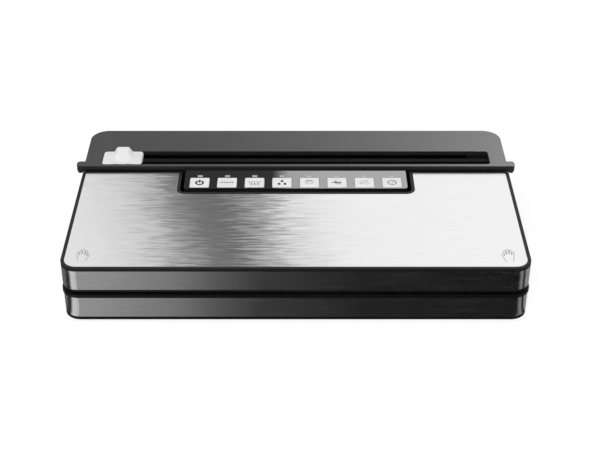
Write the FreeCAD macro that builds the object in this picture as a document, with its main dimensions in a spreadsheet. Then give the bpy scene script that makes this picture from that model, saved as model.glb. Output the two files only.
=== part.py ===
import FreeCAD, Part
import math
import os
import re
import Sketcher
from FreeCAD import Placement, Rotation, Vector

# Vacuum sealer: a flat body with a hinged steel-topped lid, a fixed control panel in a notch of the lid,
# and a bag roll compartment at the back whose cover carries a sliding cutter.
# Millimetres. X runs along the width, +Y to the back, +Z up. The origin is under the middle, on the table.

KEY_COUNT = 8
SIZES = {
    # body
    "body_width": 390, "body_depth": 221, "corner_radius": 14, "wall": 2.5, "base_floor": 2.5,
    "band_thickness": 0.8, "trim_proud": 0.8, "foot_height": 2, "foot_diameter": 14, "foot_inset": 24,
    "base_rim": 3, "base_band_height": 20, "deck_thickness": 3,
    "screw_diameter": 3.5, "screw_head": 7, "screw_head_height": 2.4, "boss_wall": 2.6, "screw_grip": 2,
    "screw_recess": 3, "screw_inset": 19, "screw_front": 11, "screw_clear": 4,
    "screw_middle": "=(body_width - machine_width) / 2 - screw_inset - screw_clear",
    # lid
    "lid_gap": 3, "lid_lip": 2, "lid_band_height": 18.6, "lid_rim": 3, "lid_top": 3, "lid_rear_gap": 1.7,
    "plate_thickness": 0.8, "plate_sink": 0.2, "plate_inset": 3, "rear_fillet": 2, "skirt_drop": 0.6,
    "notch_radius": 5, "notch_wall": 2,
    "hinge_inset": 7.05, "hinge_drop": 7, "hinge_radius": 3.5, "hinge_pin": 4,
    "hinge_margin": 45, "hinge_spread": "=body_width / 2 - hinge_margin",
    "post_width": 12, "post_foot": 20, "post_foot_height": 3, "lug_width": 4, "side_gap": 0.5,
    "running_clearance": 0.05, "seat_clearance": 0.02,
    # vacuum chamber and seals
    "chamber_margin": 2, "chamber_length": "=roll_length - 2 * chamber_margin",
    "chamber_depth": 22, "chamber_setback": 48.5, "chamber_drop": 12,
    "chamber_radius": 8, "tray_wall": 1.6, "tray_flange": 5,
    "seal_margin": 4, "seal_width": 7, "seal_height": 5, "seal_sink": 1, "seal_gap": 0.5,
    "upper_seal_height": 2.5,
    "heat_bar_margin": 3, "heat_bar_length": "=chamber_length - 2 * heat_bar_margin",
    "heat_bar_width": 10, "heat_bar_setback": 15, "heat_bar_sink": 1.2,
    "heat_bar_height": 1.4, "strip_width": 3, "strip_thickness": 0.4, "tape_width": 9,
    "tape_thickness": 0.4, "press_gap": 0.8,
    "liner_margin": 19, "liner_length": "=body_width - 2 * liner_margin", "liner_floor": 2.4,
    "liner_wall": 2, "liner_gap": 1.2, "liner_rear_gap": 3,
    "liner_screw": 3, "liner_screw_head": 6,
    # latch and release buttons
    "latch_inset": 13, "hook_thickness": 3, "hook_width": 12, "hook_barb": 2, "hook_barb_height": 3,
    "hook_flange": 6, "hook_flange_height": 2, "hook_gap": 0.5, "slot_swing": 4, "slot_gap": 1,
    "release_travel": 3, "release_height": 8, "release_width": 18, "release_rise": 6, "release_proud": 1.2,
    "release_gap": 0.4, "frame_width": 28, "frame_wall": 4, "catch_overlap": 1.5,
    # machine bay and control panel
    "panel_step": 0.4, "machine_width": "=panel_width - 2 * panel_step", "machine_gap": 2,
    "machine_drop": 8.6, "machine_wall": 2,
    "panel_width": 200.8, "panel_depth": 32.4, "panel_gap": 3.5, "panel_rise": 1.5,
    "panel_thickness": 1.6, "panel_radius": 3, "housing_wall": 0.8, "housing_floor": 1.6,
    "panel_spare": 2.4, "key_pitch": f"=(panel_width - panel_spare) / {KEY_COUNT}", "key_width": 17.2,
    "key_depth": 15.8, "key_radius": 0.8, "key_margin": 1.7,
    "key_proud": 0.2, "key_gap": 0.35, "key_flange": 1, "key_flange_height": 1.6, "key_travel": 0.7,
    "key_rest_gap": 0.3, "switch_side": 6, "switch_gap": 0.4,
    "led_width": 4.6, "led_depth": 3.4, "led_gap": 1.7, "board_thickness": 1.6, "board_post": 4,
    # machinery in the bay
    "core_width": 54, "core_depth": 20, "core_height": 34, "core_leg": 8, "core_y": 14,
    "core_place": 0.31, "core_x": "=0 - core_place * machine_width",
    "coil_depth": 34, "coil_gap": 0.3, "motor_diameter": 30, "motor_length": 44,
    "motor_place": 0.23, "motor_x": "=motor_place * machine_width",
    "pump_length": 34, "pump_side": 32, "pump_y": 8, "pump_shaft": 4, "machine_lift": 1.5,
    "power_board_width": 84, "power_board_depth": 26, "power_board_lift": 5, "bay_margin": 3,
    "nozzle_diameter": 9, "nozzle_bore": 4, "nozzle_rise": 3, "nozzle_block": 12,
    "nozzle_place": 0.3, "nozzle_x": "=nozzle_place * machine_width",
    "hose_diameter": 7, "hose_bore": 4, "hose_bend": 14, "hose_lift": 5.5,
    "valve_width": 16, "valve_depth": 14, "valve_height": 20,
    "lid_switch_width": 6, "lid_switch_depth": 20, "lid_switch_height": 10, "lid_switch_gap": 2,
    # roll compartment and its cover
    "cover_rise": 4, "cover_depth": 66.25, "cover_inset": 0.8, "cover_radius": 16,
    "bin_setback": 1.75, "bin_wall": 3,
    "roll_margin": 19, "roll_length": "=slot_length - 2 * roll_margin", "roll_floor": 2,
    "roll_floor_lift": 2, "bin_gap": 0.3, "film_gap": 0.8,
    "bin_rear_wall": 3.2, "bar_depth": 3.7, "slot_depth": 23.1, "slot_radius": 3,
    "slot_margin": 16, "slot_length": "=body_width - 2 * slot_margin",
    "tab_reach": 6.3, "tab_depth": 8.7, "tab_drop": 3.4, "tab_radius": 3, "tab_heel": 0.9,
    "ear_margin": 45, "ear_spread": "=body_width / 2 - ear_margin", "ear_width": 9, "ear_radius": 2.4,
    "cover_pin": 2, "cover_pin_length": 26,
    "barrel_radius": 4, "cover_hinge_drop": 3, "cover_lean": 0.18, "barrel_gap": 0.4,
    "ear_root": 12, "ear_heel": 1.2,
    "rail_width": 5.4, "rail_height": 1.8, "rail_lap": 4, "rail_setback": 11.3,
    "channel_drop": 9, "channel_margin": 0.7,
    "slider_length": 36.4, "slider_gap": 0.4, "slider_proud": 0.3, "slider_end_gap": 0.5,
    "hump_height": 6, "hump_base": 20, "hump_top": 9.5, "hump_depth": 14, "hump_top_depth": 11,
    "hump_inset": 0.5,
    "scoop_radius": 12, "scoop_depth": 1.8, "scoop_stretch": 5.4,
    "grip_gap": 0.4, "grip_wall": 2, "grip_lip": 1.2,
    "blade_length": 10, "blade_thickness": 0.6, "blade_drop": 7, "blade_setback": 3,
    # cord gland
    "gland_diameter": 12, "gland_bore": 7.2, "gland_flange": 15, "gland_flange_height": 1.6,
    "gland_inset": 22.5, "gland_height": 14, "gland_depth": 6,
}
FOUR_CORNERS = ((-1, -1), (1, -1), (-1, 1), (1, 1))
SIDES = ((-1, "left"), (1, "right"))
BEYOND = "5"

doc = FreeCAD.newDocument("vacuum_sealer")
sheet = doc.addObject("Spreadsheet::Sheet", "dims")
for row, alias in enumerate(SIZES, start=1):
    sheet.set(f"A{row}", alias)
    sheet.setAlias(f"B{row}", alias)
for row, size in enumerate(SIZES.values(), start=1):
    sheet.set(f"B{row}", str(size))
doc.recompute()

ALIAS_WORD = re.compile(r"\b(" + "|".join(SIZES) + r")\b")
NODES = []


def bound(text):
    """The expression with each size named as a cell of the sheet."""
    return ALIAS_WORD.sub(r"dims.\1", str(text))


def bind(target, prop, text):
    target.setExpression(prop, bound(text))


def number(text):
    return float(sheet.evalExpression(bound(text)))


def plus(*terms):
    return "(" + " + ".join(f"({term})" for term in terms) + ")"


def minus(first, *rest):
    return "(" + " - ".join(f"({term})" for term in (first, *rest)) + ")"


def half(text):
    return f"(({text}) / 2)"


def about(middle, size):
    """The span of a size centred on a place."""
    return minus(middle, half(size)), plus(middle, half(size))


def grown(span, margin):
    return minus(span[0], margin), plus(span[1], margin)


def above(low, height):
    return low, plus(low, height)


def below(high, height):
    return minus(high, height), high


def loose(diameter, clearance):
    """The diameter of a hole around a pin, with a clearance on the radius."""
    return plus(diameter, clearance, clearance)


def handed(sign, inner, outer):
    """The X span from inner to outer on the right, or its mirror on the left."""
    return (inner, outer) if sign > 0 else (minus(0, outer), minus(0, inner))


def box(name, x, y, z):
    solid = doc.addObject("Part::Box", name)
    for size, axis, (low, high) in (("Length", "x", x), ("Width", "y", y), ("Height", "z", z)):
        bind(solid, size, minus(high, low))
        bind(solid, f"Placement.Base.{axis}", low)
    return solid


TURNS = {
    "x": Rotation(Vector(0, 0, 1), Vector(1, 0, 0)),
    "y": Rotation(Vector(0, 0, 1), Vector(0, 1, 0)),
    "z": Rotation(),
}


def rod(name, diameter, x, y, z, length, axis="z"):
    """A cylinder that starts at a point and runs along an axis."""
    solid = doc.addObject("Part::Cylinder", name)
    solid.Placement = Placement(Vector(), TURNS[axis])
    bind(solid, "Radius", half(diameter))
    bind(solid, "Height", length)
    for part, place in (("x", x), ("y", y), ("z", z)):
        bind(solid, f"Placement.Base.{part}", place)
    return solid


def rounded_rectangle(sketch, width, depth, radius):
    """Four sides joined by four tangent arcs, centred on the sketch's origin."""
    r = number(radius)
    east = number(width) / 2
    north = number(depth) / 2
    inner_east = east - r
    inner_north = north - r
    corners = (
        ((inner_east, -north), (inner_east, -inner_north), -math.pi / 2),
        ((east, inner_north), (inner_east, inner_north), 0),
        ((-inner_east, north), (-inner_east, inner_north), math.pi / 2),
        ((-east, -inner_north), (-inner_east, -inner_north), math.pi),
    )
    starts = ((-inner_east, -north), (east, -inner_north), (inner_east, north), (-east, inner_north))
    outline = []
    for start, (end, centre, angle) in zip(starts, corners):
        outline.append(Part.LineSegment(Vector(*start, 0), Vector(*end, 0)))
        circle = Part.Circle(Vector(*centre, 0), Vector(0, 0, 1), r)
        outline.append(Part.ArcOfCircle(circle, angle, angle + math.pi / 2))
    sketch.addGeometry(outline, False)
    pieces = len(outline)
    rules = [Sketcher.Constraint("Tangent", piece, 2, (piece + 1) % pieces, 1) for piece in range(pieces)]
    rules.extend(Sketcher.Constraint("Horizontal", line) for line in (0, 4))
    rules.extend(Sketcher.Constraint("Vertical", line) for line in (2, 6))
    rules.extend(Sketcher.Constraint("Equal", 1, arc) for arc in (3, 5, 7))
    rules.append(Sketcher.Constraint("Symmetric", 1, 3, 5, 3, -1, 1))
    first_size = len(rules)
    rules.append(Sketcher.Constraint("Radius", 1, r))
    rules.append(Sketcher.Constraint("DistanceX", 6, 1, 2, 1, 2 * east))
    rules.append(Sketcher.Constraint("DistanceY", 0, 1, 4, 1, 2 * north))
    sketch.addConstraint(rules)
    for index, text in enumerate((radius, width, depth), start=first_size):
        bind(sketch, f"Constraints[{index}]", text)


def slab(name, x, y, z, radius):
    """A plate with rounded corners in plan."""
    body = doc.addObject("PartDesign::Body", name)
    sketch = body.newObject("Sketcher::SketchObject", f"{name}_outline")
    plane = next(item for item in body.Origin.OriginFeatures if item.Role == "XY_Plane")
    sketch.AttachmentSupport = [(plane, "")]
    sketch.MapMode = "FlatFace"
    bind(sketch, "AttachmentOffset.Base.x", half(plus(*x)))
    bind(sketch, "AttachmentOffset.Base.y", half(plus(*y)))
    bind(sketch, "AttachmentOffset.Base.z", z[0])
    rounded_rectangle(sketch, minus(x[1], x[0]), minus(y[1], y[0]), radius)
    pad = body.newObject("PartDesign::Pad", f"{name}_pad")
    pad.Profile = sketch
    bind(pad, "Length", minus(z[1], z[0]))
    return body


def footprint(name, inset, z):
    """The plan outline of the body, drawn in by an inset, between two heights."""
    x = about(0, minus("body_width", inset, inset))
    y = about(0, minus("body_depth", inset, inset))
    return slab(name, x, y, z, minus("corner_radius", inset))


def cover_plan(name, z):
    """The plan outline of the roll compartment and its cover, with wider rear corners than the body."""
    x = about(0, minus("body_width", "cover_inset", "cover_inset"))
    y = about(0, minus("body_depth", "cover_inset", "cover_inset"))
    return slab(name, x, y, z, "cover_radius")


def fuse(name, *solids):
    result = doc.addObject("Part::MultiFuse", f"{name}_fuse")
    result.Shapes = list(solids)
    result.Refine = True
    return result


def boolean(kind, name, base, tools):
    result = doc.addObject(kind, f"{name}_{kind[6:].lower()}")
    result.Base = base
    result.Tool = tools[0] if len(tools) == 1 else fuse(f"{name}_tools", *tools)
    return result


def cut(name, base, *tools):
    return boolean("Part::Cut", name, base, tools)


def common(name, base, *tools):
    return boolean("Part::Common", name, base, tools)


def group(name, solids):
    """Separate solids of one kind in one node."""
    result = doc.addObject("Part::Compound", f"{name}_group")
    result.Links = solids
    return result


def node(label, solid):
    solid.Label = label
    NODES.append(solid)
    return solid


# Heights, from the table up
Z_BAND = plus("foot_height", "base_rim")
Z_DECK = plus(Z_BAND, "base_band_height")
Z_TRIM = plus(Z_DECK, "deck_thickness")
Z_LID = plus(Z_TRIM, "lid_gap")
Z_LID_BAND = plus(Z_LID, "lid_lip")
Z_RIM = plus(Z_LID_BAND, "lid_band_height")
Z_LID_TOP = plus(Z_RIM, "lid_rim")
Z_LID_UNDER = minus(Z_LID_TOP, "lid_top")
Z_TOP = plus(Z_LID_TOP, "cover_rise")
Z_HINGE = minus(Z_LID_TOP, "hinge_drop")
Z_SKIRT = minus(Z_HINGE, "skirt_drop")
Z_FLOOR = plus("foot_height", "base_floor")
Z_MACHINE = minus(Z_LID_TOP, "machine_drop")
Z_PANEL = plus(Z_LID_TOP, "panel_rise")
Z_PANEL_UNDER = minus(Z_PANEL, "panel_thickness")
Z_LINER = plus(Z_TRIM, "seal_height", "seal_gap", "upper_seal_height")
Z_TAB = minus(Z_LID_TOP, "tab_drop")
Z_COVER_HINGE = minus(Z_LID_TOP, "cover_hinge_drop")
Z_RAIL = minus(Z_LID_TOP, "rail_height")

# Widths and depths
RIGHT = half("body_width")
FRONT = minus(0, half("body_depth"))
BACK = half("body_depth")
SHELL = plus("band_thickness", "wall")
Y_BAR = minus(BACK, "cover_depth")
Y_LID_REAR = minus(Y_BAR, "lid_rear_gap")
Y_BIN = plus(Y_BAR, "bin_setback")
Y_HINGE = minus(Y_LID_REAR, "hinge_inset")
Y_COVER_BACK = minus(BACK, "cover_inset")
Y_COVER_HINGE = minus(Y_COVER_BACK, "barrel_radius")
Y_CHAMBER = plus(FRONT, "chamber_setback")
Y_HEAT = plus(FRONT, "heat_bar_setback")
Y_PANEL = minus(Y_LID_REAR, "panel_depth")
Y_MACHINE = plus(Y_CHAMBER, half("chamber_depth"), "seal_margin", "seal_width", "machine_gap")
Y_MACHINE_BACK = Y_LID_REAR
X_HOOK = minus(RIGHT, "latch_inset")
ACROSS = (minus(FRONT, BEYOND), plus(BACK, BEYOND))
WIDE = (minus(0, RIGHT, "tab_reach", BEYOND), plus(RIGHT, "tab_reach", BEYOND))
CHAMBER_X = about(0, "chamber_length")
CHAMBER_Y = about(Y_CHAMBER, "chamber_depth")
SLOT_Y = (plus(Y_BAR, "bar_depth"), plus(Y_BAR, "bar_depth", "slot_depth"))


def band(name, z, y_end):
    """A steel strip wrapped round the front and the two sides, open at the back."""
    inner = footprint(f"{name}_inner", "band_thickness", z)
    ring = cut(f"{name}_ring", footprint(f"{name}_outer", 0, z), inner)
    return common(name, ring, box(f"{name}_front", WIDE, (ACROSS[0], y_end), z))


def seal_ring(name, z):
    """A closed loop of foam around the vacuum chamber."""
    inner = plus("chamber_radius", "seal_margin")
    hole = slab(f"{name}_hole", grown(CHAMBER_X, "seal_margin"), grown(CHAMBER_Y, "seal_margin"), z, inner)
    reach = plus("seal_margin", "seal_width")
    outer = plus("chamber_radius", reach)
    solid = slab(f"{name}_solid", grown(CHAMBER_X, reach), grown(CHAMBER_Y, reach), z, outer)
    return cut(name, solid, hole)


def release_window(name, sign):
    """The opening in the side of the casing that a release button moves in."""
    y = grown(about(Y_CHAMBER, "release_width"), "release_gap")
    low = plus(Z_BAND, "release_rise")
    z = grown((low, plus(low, "release_height")), "release_gap")
    return box(f"{name}_window", handed(sign, minus(RIGHT, SHELL, BEYOND), plus(RIGHT, BEYOND)), y, z)


# Screw places: two at the front, two beside the machine bay, two near the hinge
X_SCREW = minus(RIGHT, "screw_inset")
SCREW_PLACES = [
    (X_SCREW, plus(FRONT, "screw_front")),
    (X_SCREW, minus(Y_BIN, "screw_front")),
    (minus(X_SCREW, "screw_middle"), minus(Y_BIN, "screw_front")),
]
SCREWS = [(minus(0, x), y) for x, y in SCREW_PLACES] + SCREW_PLACES
Z_HEAD = plus("foot_height", "screw_recess")


def base_shell():
    top = plus(Z_DECK, BEYOND)
    outer = footprint("base_outer", 0, ("foot_height", Z_DECK))
    cavity = footprint("base_cavity", SHELL, (Z_FLOOR, top))
    shell = cut("base_hollow", outer, cavity)
    solids = [shell]
    ring = cut("base_seat_ring", footprint("base_seat_outer", minus(0, BEYOND), (Z_BAND, top)),
               footprint("base_seat_inner", "band_thickness", (Z_BAND, top)))
    cuts = [common("base_seat", ring, box("base_seat_front", WIDE, (ACROSS[0], Y_BIN), (Z_BAND, top)))]
    for index, (x, y) in enumerate(SCREWS):
        boss = plus("screw_head", "boss_wall", "boss_wall")
        solids.append(rod(f"base_boss{index}", boss, x, y, "foot_height", minus(Z_DECK, "foot_height")))
        hole = loose("screw_diameter", "running_clearance")
        cuts.append(rod(f"base_hole{index}", hole, x, y, 0, Z_TRIM))
        head = plus("screw_head", "side_gap")
        depth = plus(Z_HEAD, "screw_head_height")
        cuts.append(rod(f"base_head{index}", head, x, y, 0, depth))
    for sign, side in SIDES:
        x = handed(sign, minus(X_HOOK, half("hook_thickness"), "hook_barb", "release_travel", "frame_wall"),
                   minus(RIGHT, half(SHELL)))
        y = grown(about(Y_CHAMBER, "frame_width"), "release_gap")
        guide_top = minus(plus(Z_BAND, "release_rise"), "release_gap")
        solids.append(box(f"base_guide_{side}", x, y, ("foot_height", guide_top)))
        cuts.append(release_window(f"base_{side}", sign))
    x = minus(RIGHT, "gland_inset")
    y = minus(BACK, SHELL, BEYOND)
    depth = plus(SHELL, BEYOND, BEYOND)
    cuts.append(rod("base_gland_hole", "gland_diameter", x, y, "gland_height", depth, "y"))
    return cut("base_shell", fuse("base_joined", *solids), *cuts)


def base_band():
    strip = band("base_strip", (Z_BAND, Z_DECK), Y_BIN)
    return cut("base_band", strip, *(release_window(f"band_{side}", sign) for sign, side in SIDES))


HOOK_Y = about(Y_CHAMBER, "hook_width")
LATCH_SLOT_Y = (minus(HOOK_Y[0], "slot_swing"), plus(HOOK_Y[1], "slot_gap"))
# The top of the bin's back wall, under the reach of the cover's back corner as it swings
LEAN_DROP = "(cover_hinge_drop + cover_rise) * cover_lean"
Z_BIN_BACK = minus(Z_COVER_HINGE, "barrel_radius", "barrel_gap", LEAN_DROP)
BIN_X = grown(about(0, "roll_length"), "bin_wall")
BIN_Y = (Y_BIN, minus(Y_COVER_BACK, "bin_rear_wall"))
HEAT_X = about(0, "heat_bar_length")
HEAT_Y = about(Y_HEAT, "heat_bar_width")


def deck():
    through = (minus(Z_DECK, BEYOND), plus(Z_TRIM, BEYOND))
    plate = footprint("deck_plate", minus(0, "trim_proud"), (Z_DECK, Z_TRIM))
    openings = [slab("deck_chamber", CHAMBER_X, CHAMBER_Y, through, "chamber_radius")]
    bay_x = grown(about(0, "machine_width"), minus(0, "machine_wall"))
    bay_y = (plus(Y_MACHINE, "machine_wall"), minus(Y_MACHINE_BACK, "machine_wall"))
    openings.append(box("deck_bay", bay_x, bay_y, through))
    openings.append(box("deck_bin", grown(BIN_X, "bin_gap"), grown(BIN_Y, "bin_gap"), through))
    openings.append(box("deck_bar_seat", HEAT_X, HEAT_Y, (minus(Z_TRIM, "heat_bar_sink"), through[1])))
    openings.append(seal_ring("deck_seal_groove", (minus(Z_TRIM, "seal_sink"), through[1])))
    for sign, side in SIDES:
        inner = minus(X_HOOK, half("hook_thickness"), "hook_barb", "slot_gap")
        outer = plus(X_HOOK, half("hook_thickness"), "slot_gap")
        openings.append(box(f"deck_latch_{side}", handed(sign, inner, outer), LATCH_SLOT_Y, through))
    for index, (x, y) in enumerate(SCREWS):
        hole = loose("screw_diameter", "running_clearance")
        depth = plus(BEYOND, "screw_grip")
        openings.append(rod(f"deck_hole{index}", hole, x, y, minus(Z_DECK, BEYOND), depth))
    return cut("deck", plate, *openings)


def chamber_tray():
    bottom = minus(Z_TRIM, "chamber_drop", "tray_wall")
    tub = slab("tray_tub", CHAMBER_X, CHAMBER_Y, (bottom, Z_TRIM), "chamber_radius")
    flange_x = grown(CHAMBER_X, "tray_flange")
    flange_y = grown(CHAMBER_Y, "tray_flange")
    radius = plus("chamber_radius", "tray_flange")
    flange = slab("tray_flange_plate", flange_x, flange_y, (minus(Z_DECK, "tray_wall"), Z_DECK), radius)
    inset = minus(0, "tray_wall")
    hollow_z = (plus(bottom, "tray_wall"), plus(Z_TRIM, BEYOND))
    hollow_radius = minus("chamber_radius", "tray_wall")
    hollow = slab("tray_hollow", grown(CHAMBER_X, inset), grown(CHAMBER_Y, inset), hollow_z, hollow_radius)
    port_low = minus(bottom, BEYOND)
    port = rod("tray_port", "nozzle_diameter", "nozzle_x", Y_CHAMBER, port_low, plus(BEYOND, BEYOND))
    return cut("chamber_tray", fuse("tray_joined", tub, flange), hollow, port)


def seals_and_heater():
    node("lower_seal", seal_ring("lower_ring", (minus(Z_TRIM, "seal_sink"), plus(Z_TRIM, "seal_height"))))
    top = plus(Z_TRIM, "heat_bar_height")
    bar = box("bar_blank", HEAT_X, HEAT_Y, (minus(Z_TRIM, "heat_bar_sink"), top))
    strip_z = (minus(top, "strip_thickness"), top)
    groove = box("bar_groove", HEAT_X, about(Y_HEAT, "strip_width"), (strip_z[0], plus(top, BEYOND)))
    node("seal_bar", cut("seal_bar", bar, groove))
    node("heating_strip", box("strip_ribbon", HEAT_X, about(Y_HEAT, "strip_width"), strip_z))
    tape_y = about(Y_HEAT, "tape_width")
    node("ptfe_tape", box("tape_ribbon", HEAT_X, tape_y, above(top, "tape_thickness")))


HOSE_Z = plus(Z_FLOOR, "hose_lift")
PUMP_X = (minus("motor_x", "pump_length"), "motor_x")
X_INLET = half(plus(*PUMP_X))
PUMP_Y = about("pump_y", "pump_side")
Z_PUMP = plus(Z_FLOOR, "machine_lift")
Y_NOZZLE = plus(Y_CHAMBER, half("nozzle_block"))


def suction_nozzle():
    """A port in the chamber floor, turned towards the pump under the deck."""
    bottom = minus(Z_TRIM, "chamber_drop", "tray_wall")
    low = minus(HOSE_Z, half("nozzle_diameter"))
    top = plus(bottom, "tray_wall", "nozzle_rise")
    tube = rod("nozzle_tube", "nozzle_diameter", "nozzle_x", Y_CHAMBER, low, minus(top, low))
    block_y = about(Y_CHAMBER, "nozzle_block")
    block = box("nozzle_elbow", about("nozzle_x", "nozzle_block"), block_y, (low, bottom))
    depth = plus(minus(top, HOSE_Z), BEYOND)
    down = rod("nozzle_down", "nozzle_bore", "nozzle_x", Y_CHAMBER, HOSE_Z, depth)
    out = rod("nozzle_out", "nozzle_bore", "nozzle_x", Y_CHAMBER, HOSE_Z, "nozzle_block", "y")
    return cut("suction_nozzle", fuse("nozzle_joined", tube, block), down, out)


def machine_cover():
    x = about(0, "machine_width")
    y = (Y_MACHINE, Y_MACHINE_BACK)
    outer = box("cover_box", x, y, (Z_TRIM, Z_MACHINE))
    inset = minus(0, "machine_wall")
    room_z = (minus(Z_TRIM, BEYOND), minus(Z_MACHINE, "machine_wall"))
    return cut("machine_cover", outer, box("cover_room", grown(x, inset), grown(y, inset), room_z))


def hinge_post(sign, side):
    """A post on the deck with a round head, which the lid's hinge pin turns in."""
    middle = f"({sign}) * hinge_spread"
    x = about(middle, "post_width")
    stem = box(f"post_stem_{side}", x, about(Y_HINGE, "hinge_radius * 2"), (Z_TRIM, Z_HINGE))
    head = rod(f"post_head_{side}", "hinge_radius * 2", x[0], Y_HINGE, Z_HINGE, "post_width", "x")
    foot_z = (Z_TRIM, plus(Z_TRIM, "post_foot_height"))
    foot_y = (minus(Y_HINGE, "post_foot"), plus(Y_HINGE, "hinge_radius"))
    foot = box(f"post_foot_{side}", x, foot_y, foot_z)
    bore = loose("hinge_pin", "running_clearance")
    start = minus(x[0], BEYOND)
    hole = rod(f"post_bore_{side}", bore, start, Y_HINGE, Z_HINGE, plus("post_width", BEYOND, BEYOND), "x")
    return cut(f"post_{side}", fuse(f"post_{side}", stem, head, foot), hole)


def hinge_lugs(sign, side):
    """Two lugs under the lid that straddle a hinge post."""
    middle = f"({sign}) * hinge_spread"
    offset = plus(half("post_width"), "side_gap")
    lugs = []
    for end, direction in (("inner", -1), ("outer", 1)):
        name = f"lug_{side}_{end}"
        near = plus(middle, f"({direction}) * {offset}")
        start = near if direction > 0 else minus(near, "lug_width")
        web_z = (Z_HINGE, plus(Z_LID_UNDER, "seal_gap"))
        web_y = about(Y_HINGE, "hinge_radius * 2")
        lugs.append(box(f"{name}_web", above(start, "lug_width"), web_y, web_z))
        lugs.append(rod(f"{name}_eye", "hinge_radius * 2", start, Y_HINGE, Z_HINGE, "lug_width", "x"))
    return lugs


PIN_LENGTH = plus("post_width", "side_gap * 2", "lug_width * 2")


def hinge_pin(name, sign, diameter):
    start = minus(f"({sign}) * hinge_spread", half(PIN_LENGTH))
    return rod(name, diameter, start, Y_HINGE, Z_HINGE, PIN_LENGTH, "x")


def notch(name, margin, z):
    """The room around the control panel, grown by a margin and open to the back."""
    reach = plus("panel_gap", margin)
    y = (minus(Y_PANEL, reach), plus(Y_LID_REAR, "corner_radius"))
    return slab(name, grown(about(0, "panel_width"), reach), y, z, plus("notch_radius", margin))


def lid_liner_screws():
    inset = plus("liner_wall", half("liner_screw"), "boss_wall", "side_gap")
    x = minus(half("liner_length"), inset)
    front = plus(FRONT, SHELL, "liner_gap", inset)
    back = minus(Y_MACHINE, "liner_rear_gap", inset)
    return [(f"({sign}) * {x}", y) for sign in (-1, 1) for y in (front, back)]


def lid_shell():
    under = minus(Z_LID, BEYOND)
    over = plus(Z_LID_TOP, BEYOND)
    ahead = (ACROSS[0], Y_LID_REAR)
    blank = common("lid_blank", footprint("lid_outer", 0, (Z_LID, Z_LID_TOP)),
                   box("lid_ahead", WIDE, ahead, (under, over)))
    room = common("lid_room", footprint("lid_cavity", SHELL, (under, Z_LID_UNDER)),
                  box("lid_room_ahead", WIDE, (ACROSS[0], minus(Y_LID_REAR, "wall")), (under, over)))
    inside = about(0, minus("body_width", SHELL, SHELL))
    back_gap = box("lid_back_gap", inside, (minus(Y_LID_REAR, "wall", BEYOND), plus(Y_LID_REAR, BEYOND)),
                   (under, Z_SKIRT))
    shell = cut("lid_hollow", blank, room, back_gap)
    skirt_z = (Z_SKIRT, Z_LID_TOP)
    skirt = common("lid_skirt", notch("lid_notch_outer", "notch_wall", skirt_z),
                   box("lid_skirt_ahead", WIDE, ahead, skirt_z))
    solids = [shell, skirt]
    cuts = [notch("lid_notch", 0, (under, over))]
    seat_z = (Z_LID_BAND, Z_RIM)
    ring = cut("lid_seat_ring", footprint("lid_seat_outer", minus(0, BEYOND), seat_z),
               footprint("lid_seat_inner", "band_thickness", seat_z))
    seat_y = (ACROSS[0], minus(Y_LID_REAR, "wall"))
    cuts.append(common("lid_seat", ring, box("lid_seat_ahead", WIDE, seat_y, seat_z)))
    cuts.append(plate_shape("lid_recess", (minus(Z_LID_TOP, "plate_sink", "plate_thickness"), over)))
    for sign, side in SIDES:
        solids.extend(hinge_lugs(sign, side))
        cuts.append(hinge_pin(f"lug_bore_{side}", sign, loose("hinge_pin", "seat_clearance")))
        x = grown(about(f"({sign}) * hinge_spread", "post_width"), "side_gap")
        y = (minus(Y_LID_REAR, "wall", BEYOND), plus(Y_LID_REAR, BEYOND))
        cuts.append(box(f"lid_post_slot_{side}", x, y, (minus(Z_SKIRT, BEYOND), Z_LID_UNDER)))
    for index, (x, y) in enumerate(lid_liner_screws()):
        floor = plus(Z_LINER, "liner_floor")
        boss = plus("liner_screw", "boss_wall", "boss_wall")
        height = plus(minus(Z_LID_UNDER, floor), "seat_clearance")
        solids.append(rod(f"lid_boss{index}", boss, x, y, floor, height))
        hole = loose("liner_screw", "running_clearance")
        depth = plus(liner_thread(), BEYOND)
        cuts.append(rod(f"lid_boss_hole{index}", hole, x, y, minus(floor, BEYOND), depth))
    return cut("lid_shell", fuse("lid_joined", *solids), *cuts)


def liner_thread():
    """How far a liner screw reaches into its boss."""
    return half(minus(Z_LID_UNDER, Z_LINER, "liner_floor"))


def plate_shape(name, z):
    whole = footprint(f"{name}_whole", "plate_inset", z)
    y = (ACROSS[0], minus(Y_LID_REAR, "plate_inset"))
    return cut(name, common(f"{name}_front", whole, box(f"{name}_ahead", WIDE, y, z)),
               notch(f"{name}_notch", "plate_inset", z))


def rounded_rear_edge(shell):
    """Rounds the lid's top rear edge, which swings past the cover's bar."""
    doc.recompute()
    rear = number(Y_LID_REAR)
    top = number(Z_LID_TOP)
    near = 0.01
    edges = []
    for index, edge in enumerate(shell.Shape.Edges, start=1):
        points = [vertex.Point for vertex in edge.Vertexes]
        if all(abs(point.y - rear) < near and abs(point.z - top) < near for point in points):
            edges.append((index, number("rear_fillet"), number("rear_fillet")))
    fillet = doc.addObject("Part::Fillet", "lid_rear_round")
    fillet.Base = shell
    fillet.Edges = edges
    return fillet


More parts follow.
